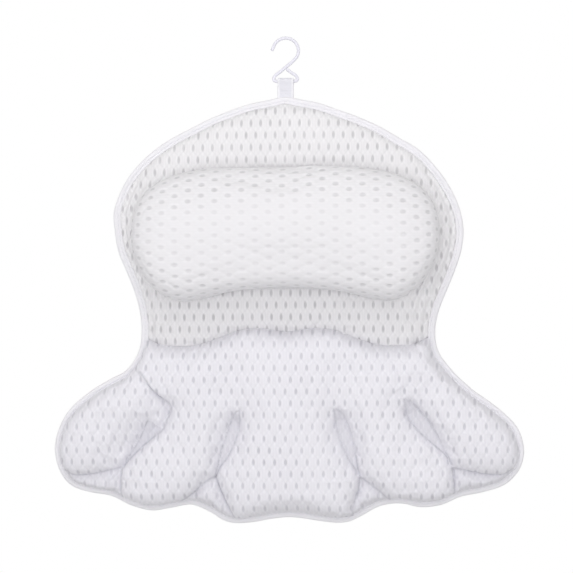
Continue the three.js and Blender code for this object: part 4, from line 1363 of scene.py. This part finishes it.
@dataclass
class BackCover:
    """The mesh back with its eyelets and suction cups."""

    thickness: float = 6.15
    inset: float = 6.6
    hole: float = 5.6

    TURN_STEPS = 48

    def build(self) -> None:
        """Builds and dresses the back, the eyelets and the cups."""
        finish = AirMesh("air_mesh_back", thread=(0.76, 0.76, 0.79), hollow=(0.60, 0.60, 0.65),
                         pitch=5.2, row=4.4, slot_width=1.6, slot_length=2.4, slot_depth=0.4,
                         cell_height=0.1, net_depth=0.2)
        edge = drawn_in(pad_outline(), self.inset)
        neck = curved(np.vstack([flipped(NECK_HALF[::-1][1:]), NECK_HALF[1:-1]]), 4.0)
        neck = neck[inside(neck, drawn_in(edge, 3.0))]
        piece = StuffedPanel(
            "back_cover", edge, self.thickness, edge=2.4, reach=4.0, spacing=BACK_STEP, facing=1,
            seams=[Sewn(neck, 0.44, 0.44)], holes=[(x, z, self.hole) for x, z in CUPS],
        ).build()
        knit_panel(piece, finish, edge, 2, 0.2)
        settled(piece, finish.material(), "air_mesh_back", "head_back_cover",
                "shoulder_back_cover", fill=0.3)
        pvc = grained("clear_soft_pvc", 120.0, 3.0, (0.90, 0.94, 0.95), (0.84, 0.89, 0.91),
                      0.0001, 0.12, 0.12, IOR=1.5, Transmission_Weight=0.72)
        nylon = grained("moulded_nylon", 900.0, 2.0, (0.82, 0.82, 0.82), (0.77, 0.77, 0.77),
                        0.00004, 0.42)
        cup, eyelet = rounded_line(CUP_SECTION, 0.8), rounded_line(EYELET_SECTION, 0.35)
        for i, place in enumerate(CUPS, 1):
            body = "head" if i < 3 else "shoulder"
            self.fitting(f"clear_cup_{i}", cup, place, pvc, "cup_pvc", f"suction_cup_{i}",
                         f"cup_{i}")
            self.fitting(f"nylon_eyelet_{i}", eyelet, place, nylon, "eyelet_plastic",
                         f"cup_eyelet_{i}", body)
        LOG.info("back: %s and six cups", piece.name)

    def fitting(self, name: str, profile: Points, place: tuple[float, float],
                material: Material, slot: str, node: str, carrier: str) -> None:
        """A turned cup or eyelet, at its place in the back.

        Its profile is a line of (radius, y), and its carrier is the body that it rides on.
        """
        points, faces = turned(profile, self.TURN_STEPS)
        piece = new_solid(name, (points + [place[0], 0, place[1]], faces))
        piece.data.set_sharp_from_angle(angle=math.radians(50))
        settled(piece, material, slot, node, body=carrier)


@dataclass
class Studio:
    """Floor, light and camera."""

    frame_width: float = 525.5
    lens: float = 150.0
    sensor: float = 36.0
    azimuth: float = 3.5
    elevation: float = -4.4
    middle: tuple[float, float, float] = (-0.2, 0.0, -226.6)

    def build(self) -> None:
        """Builds the floor, the world, the lamps and the camera."""
        self.floor()
        self.world()
        self.lamp("front", (0.0, -2.3, 0.25), 1.4, 4.2, (1.0, 0.99, 0.985))
        self.lamp("right", (1.0, -2.1, 0.1), 1.4, 0.8, (1.0, 0.99, 0.98))
        self.lamp("above", (-0.2, -1.6, 1.4), 1.2, 9.6, (1.0, 0.985, 0.97))
        self.lamp("low", (0.0, -2.2, -0.64), 0.9, 13.8, (0.985, 0.985, 1.0))
        self.camera()
        bpy.context.scene.view_settings.view_transform = "Standard"

    def floor(self) -> None:
        """A pale floor below the hanging pillow, a little brighter to the camera."""
        steps = 72
        points = np.vstack([(0, 0)] + [circle(radius, steps) for radius in (300, 700, 1100, 1500)])
        around = [(k, (k + 1) % steps) for k in range(steps)]
        faces = [(0, 1 + k, 1 + n) for k, n in around]
        for a in 1 + np.arange(3) * steps:
            faces += [(a + k, a + steps + k, a + steps + n, a + n) for k, n in around]
        piece = new_object("floor", np.column_stack([points, np.full(len(points), -700.0)]),
                           faces)
        n = Nodes.of_material("pale_floor")
        n.surface(Base_Color=n.mix(n.noise(3.0), (0.86, 0.86, 0.86), (0.82, 0.82, 0.82)),
                  Roughness=0.7)
        seen = n.node("ShaderNodeLightPath").outputs["Is Camera Ray"]
        glow = n.node("ShaderNodeEmission", {"Strength": n.math("MULTIPLY", seen, 0.3)})
        both = n.node("ShaderNodeAddShader", {0: n.tree.nodes["Principled BSDF"].outputs[0],
                                              1: glow.outputs[0]})
        n.feed(n.tree.nodes["Material Output"].inputs["Surface"], both.outputs[0])
        piece.data.materials.append(n.owner)

    def world(self) -> None:
        """Light from all round, and white to the camera, to gloss and through clear pieces."""
        n = Nodes(bpy.data.worlds.new("soft_room"))
        bpy.context.scene.world = n.owner
        place = n.node("ShaderNodeTexCoord").outputs["Generated"]
        up = n.node("ShaderNodeSeparateXYZ", {0: place}).outputs[2]
        share = n.node("ShaderNodeMapRange", {0: up, "From Min": -0.8}).outputs[0]
        ramp = n.node("ShaderNodeValToRGB", {0: share})
        below, above = ramp.color_ramp.elements
        below.color, above.color = (0.98, 0.97, 1.0, 1), (0.52, 0.515, 0.51, 1)
        plain = n.tree.nodes["Background"]
        n.feed(plain.inputs[0], ramp.outputs[0])
        n.feed(plain.inputs[1], 0.98)
        white = n.node("ShaderNodeBackground", {0: (1, 1, 1, 1), 1: 1.0})
        rays = n.node("ShaderNodeLightPath").outputs
        seen = n.math("MAXIMUM", rays["Is Camera Ray"], rays["Is Glossy Ray"])
        seen = n.math("MAXIMUM", seen, rays["Is Transmission Ray"])
        both = n.node("ShaderNodeMixShader", {0: seen, 1: plain.outputs[0],
                                              2: white.outputs[0]})
        n.feed(n.tree.nodes["World Output"].inputs[0], both.outputs[0])

    def lamp(self, name: str, place: Sequence[float], size: float, power: float,
             colour: Colour) -> None:
        """A soft square lamp aimed at the middle of the pillow, in metres and watts."""
        light = bpy.data.lights.new(name, "AREA")
        light.energy, light.size, light.color = power, size, colour
        lamp = linked(name, light)
        lamp.location = place
        aim = Vector((0, 0, -0.24)) - Vector(place)
        lamp.rotation_euler = aim.to_track_quat("-Z", "Y").to_euler()

    def camera(self) -> None:
        """A long lens in front, a little to the right and below."""
        data = bpy.data.cameras.new("camera")
        data.lens, data.sensor_width = self.lens, self.sensor
        data.clip_start, data.clip_end = 0.1, 50
        camera = linked("camera", data)
        distance = self.frame_width * self.lens / self.sensor * MM
        a, e = math.radians(self.azimuth), math.radians(self.elevation)
        back = Vector((math.sin(a) * math.cos(e), -math.cos(a) * math.cos(e), math.sin(e)))
        camera.location = Vector(hung(np.array([self.middle]))[0] * MM) + back * distance
        camera.rotation_euler = (-back).to_track_quat("-Z", "Y").to_euler()
        bpy.context.scene.camera = camera


def main() -> None:
    """Builds the whole pillow and its studio."""
    logging.basicConfig(level=logging.INFO, format="%(name)s: %(message)s")
    for part in (Studio(), Hanger(), EdgeBinding(), HeadRest(), ShoulderRest(), BackCover()):
        part.build()


if __name__ == "__main__":
    main()
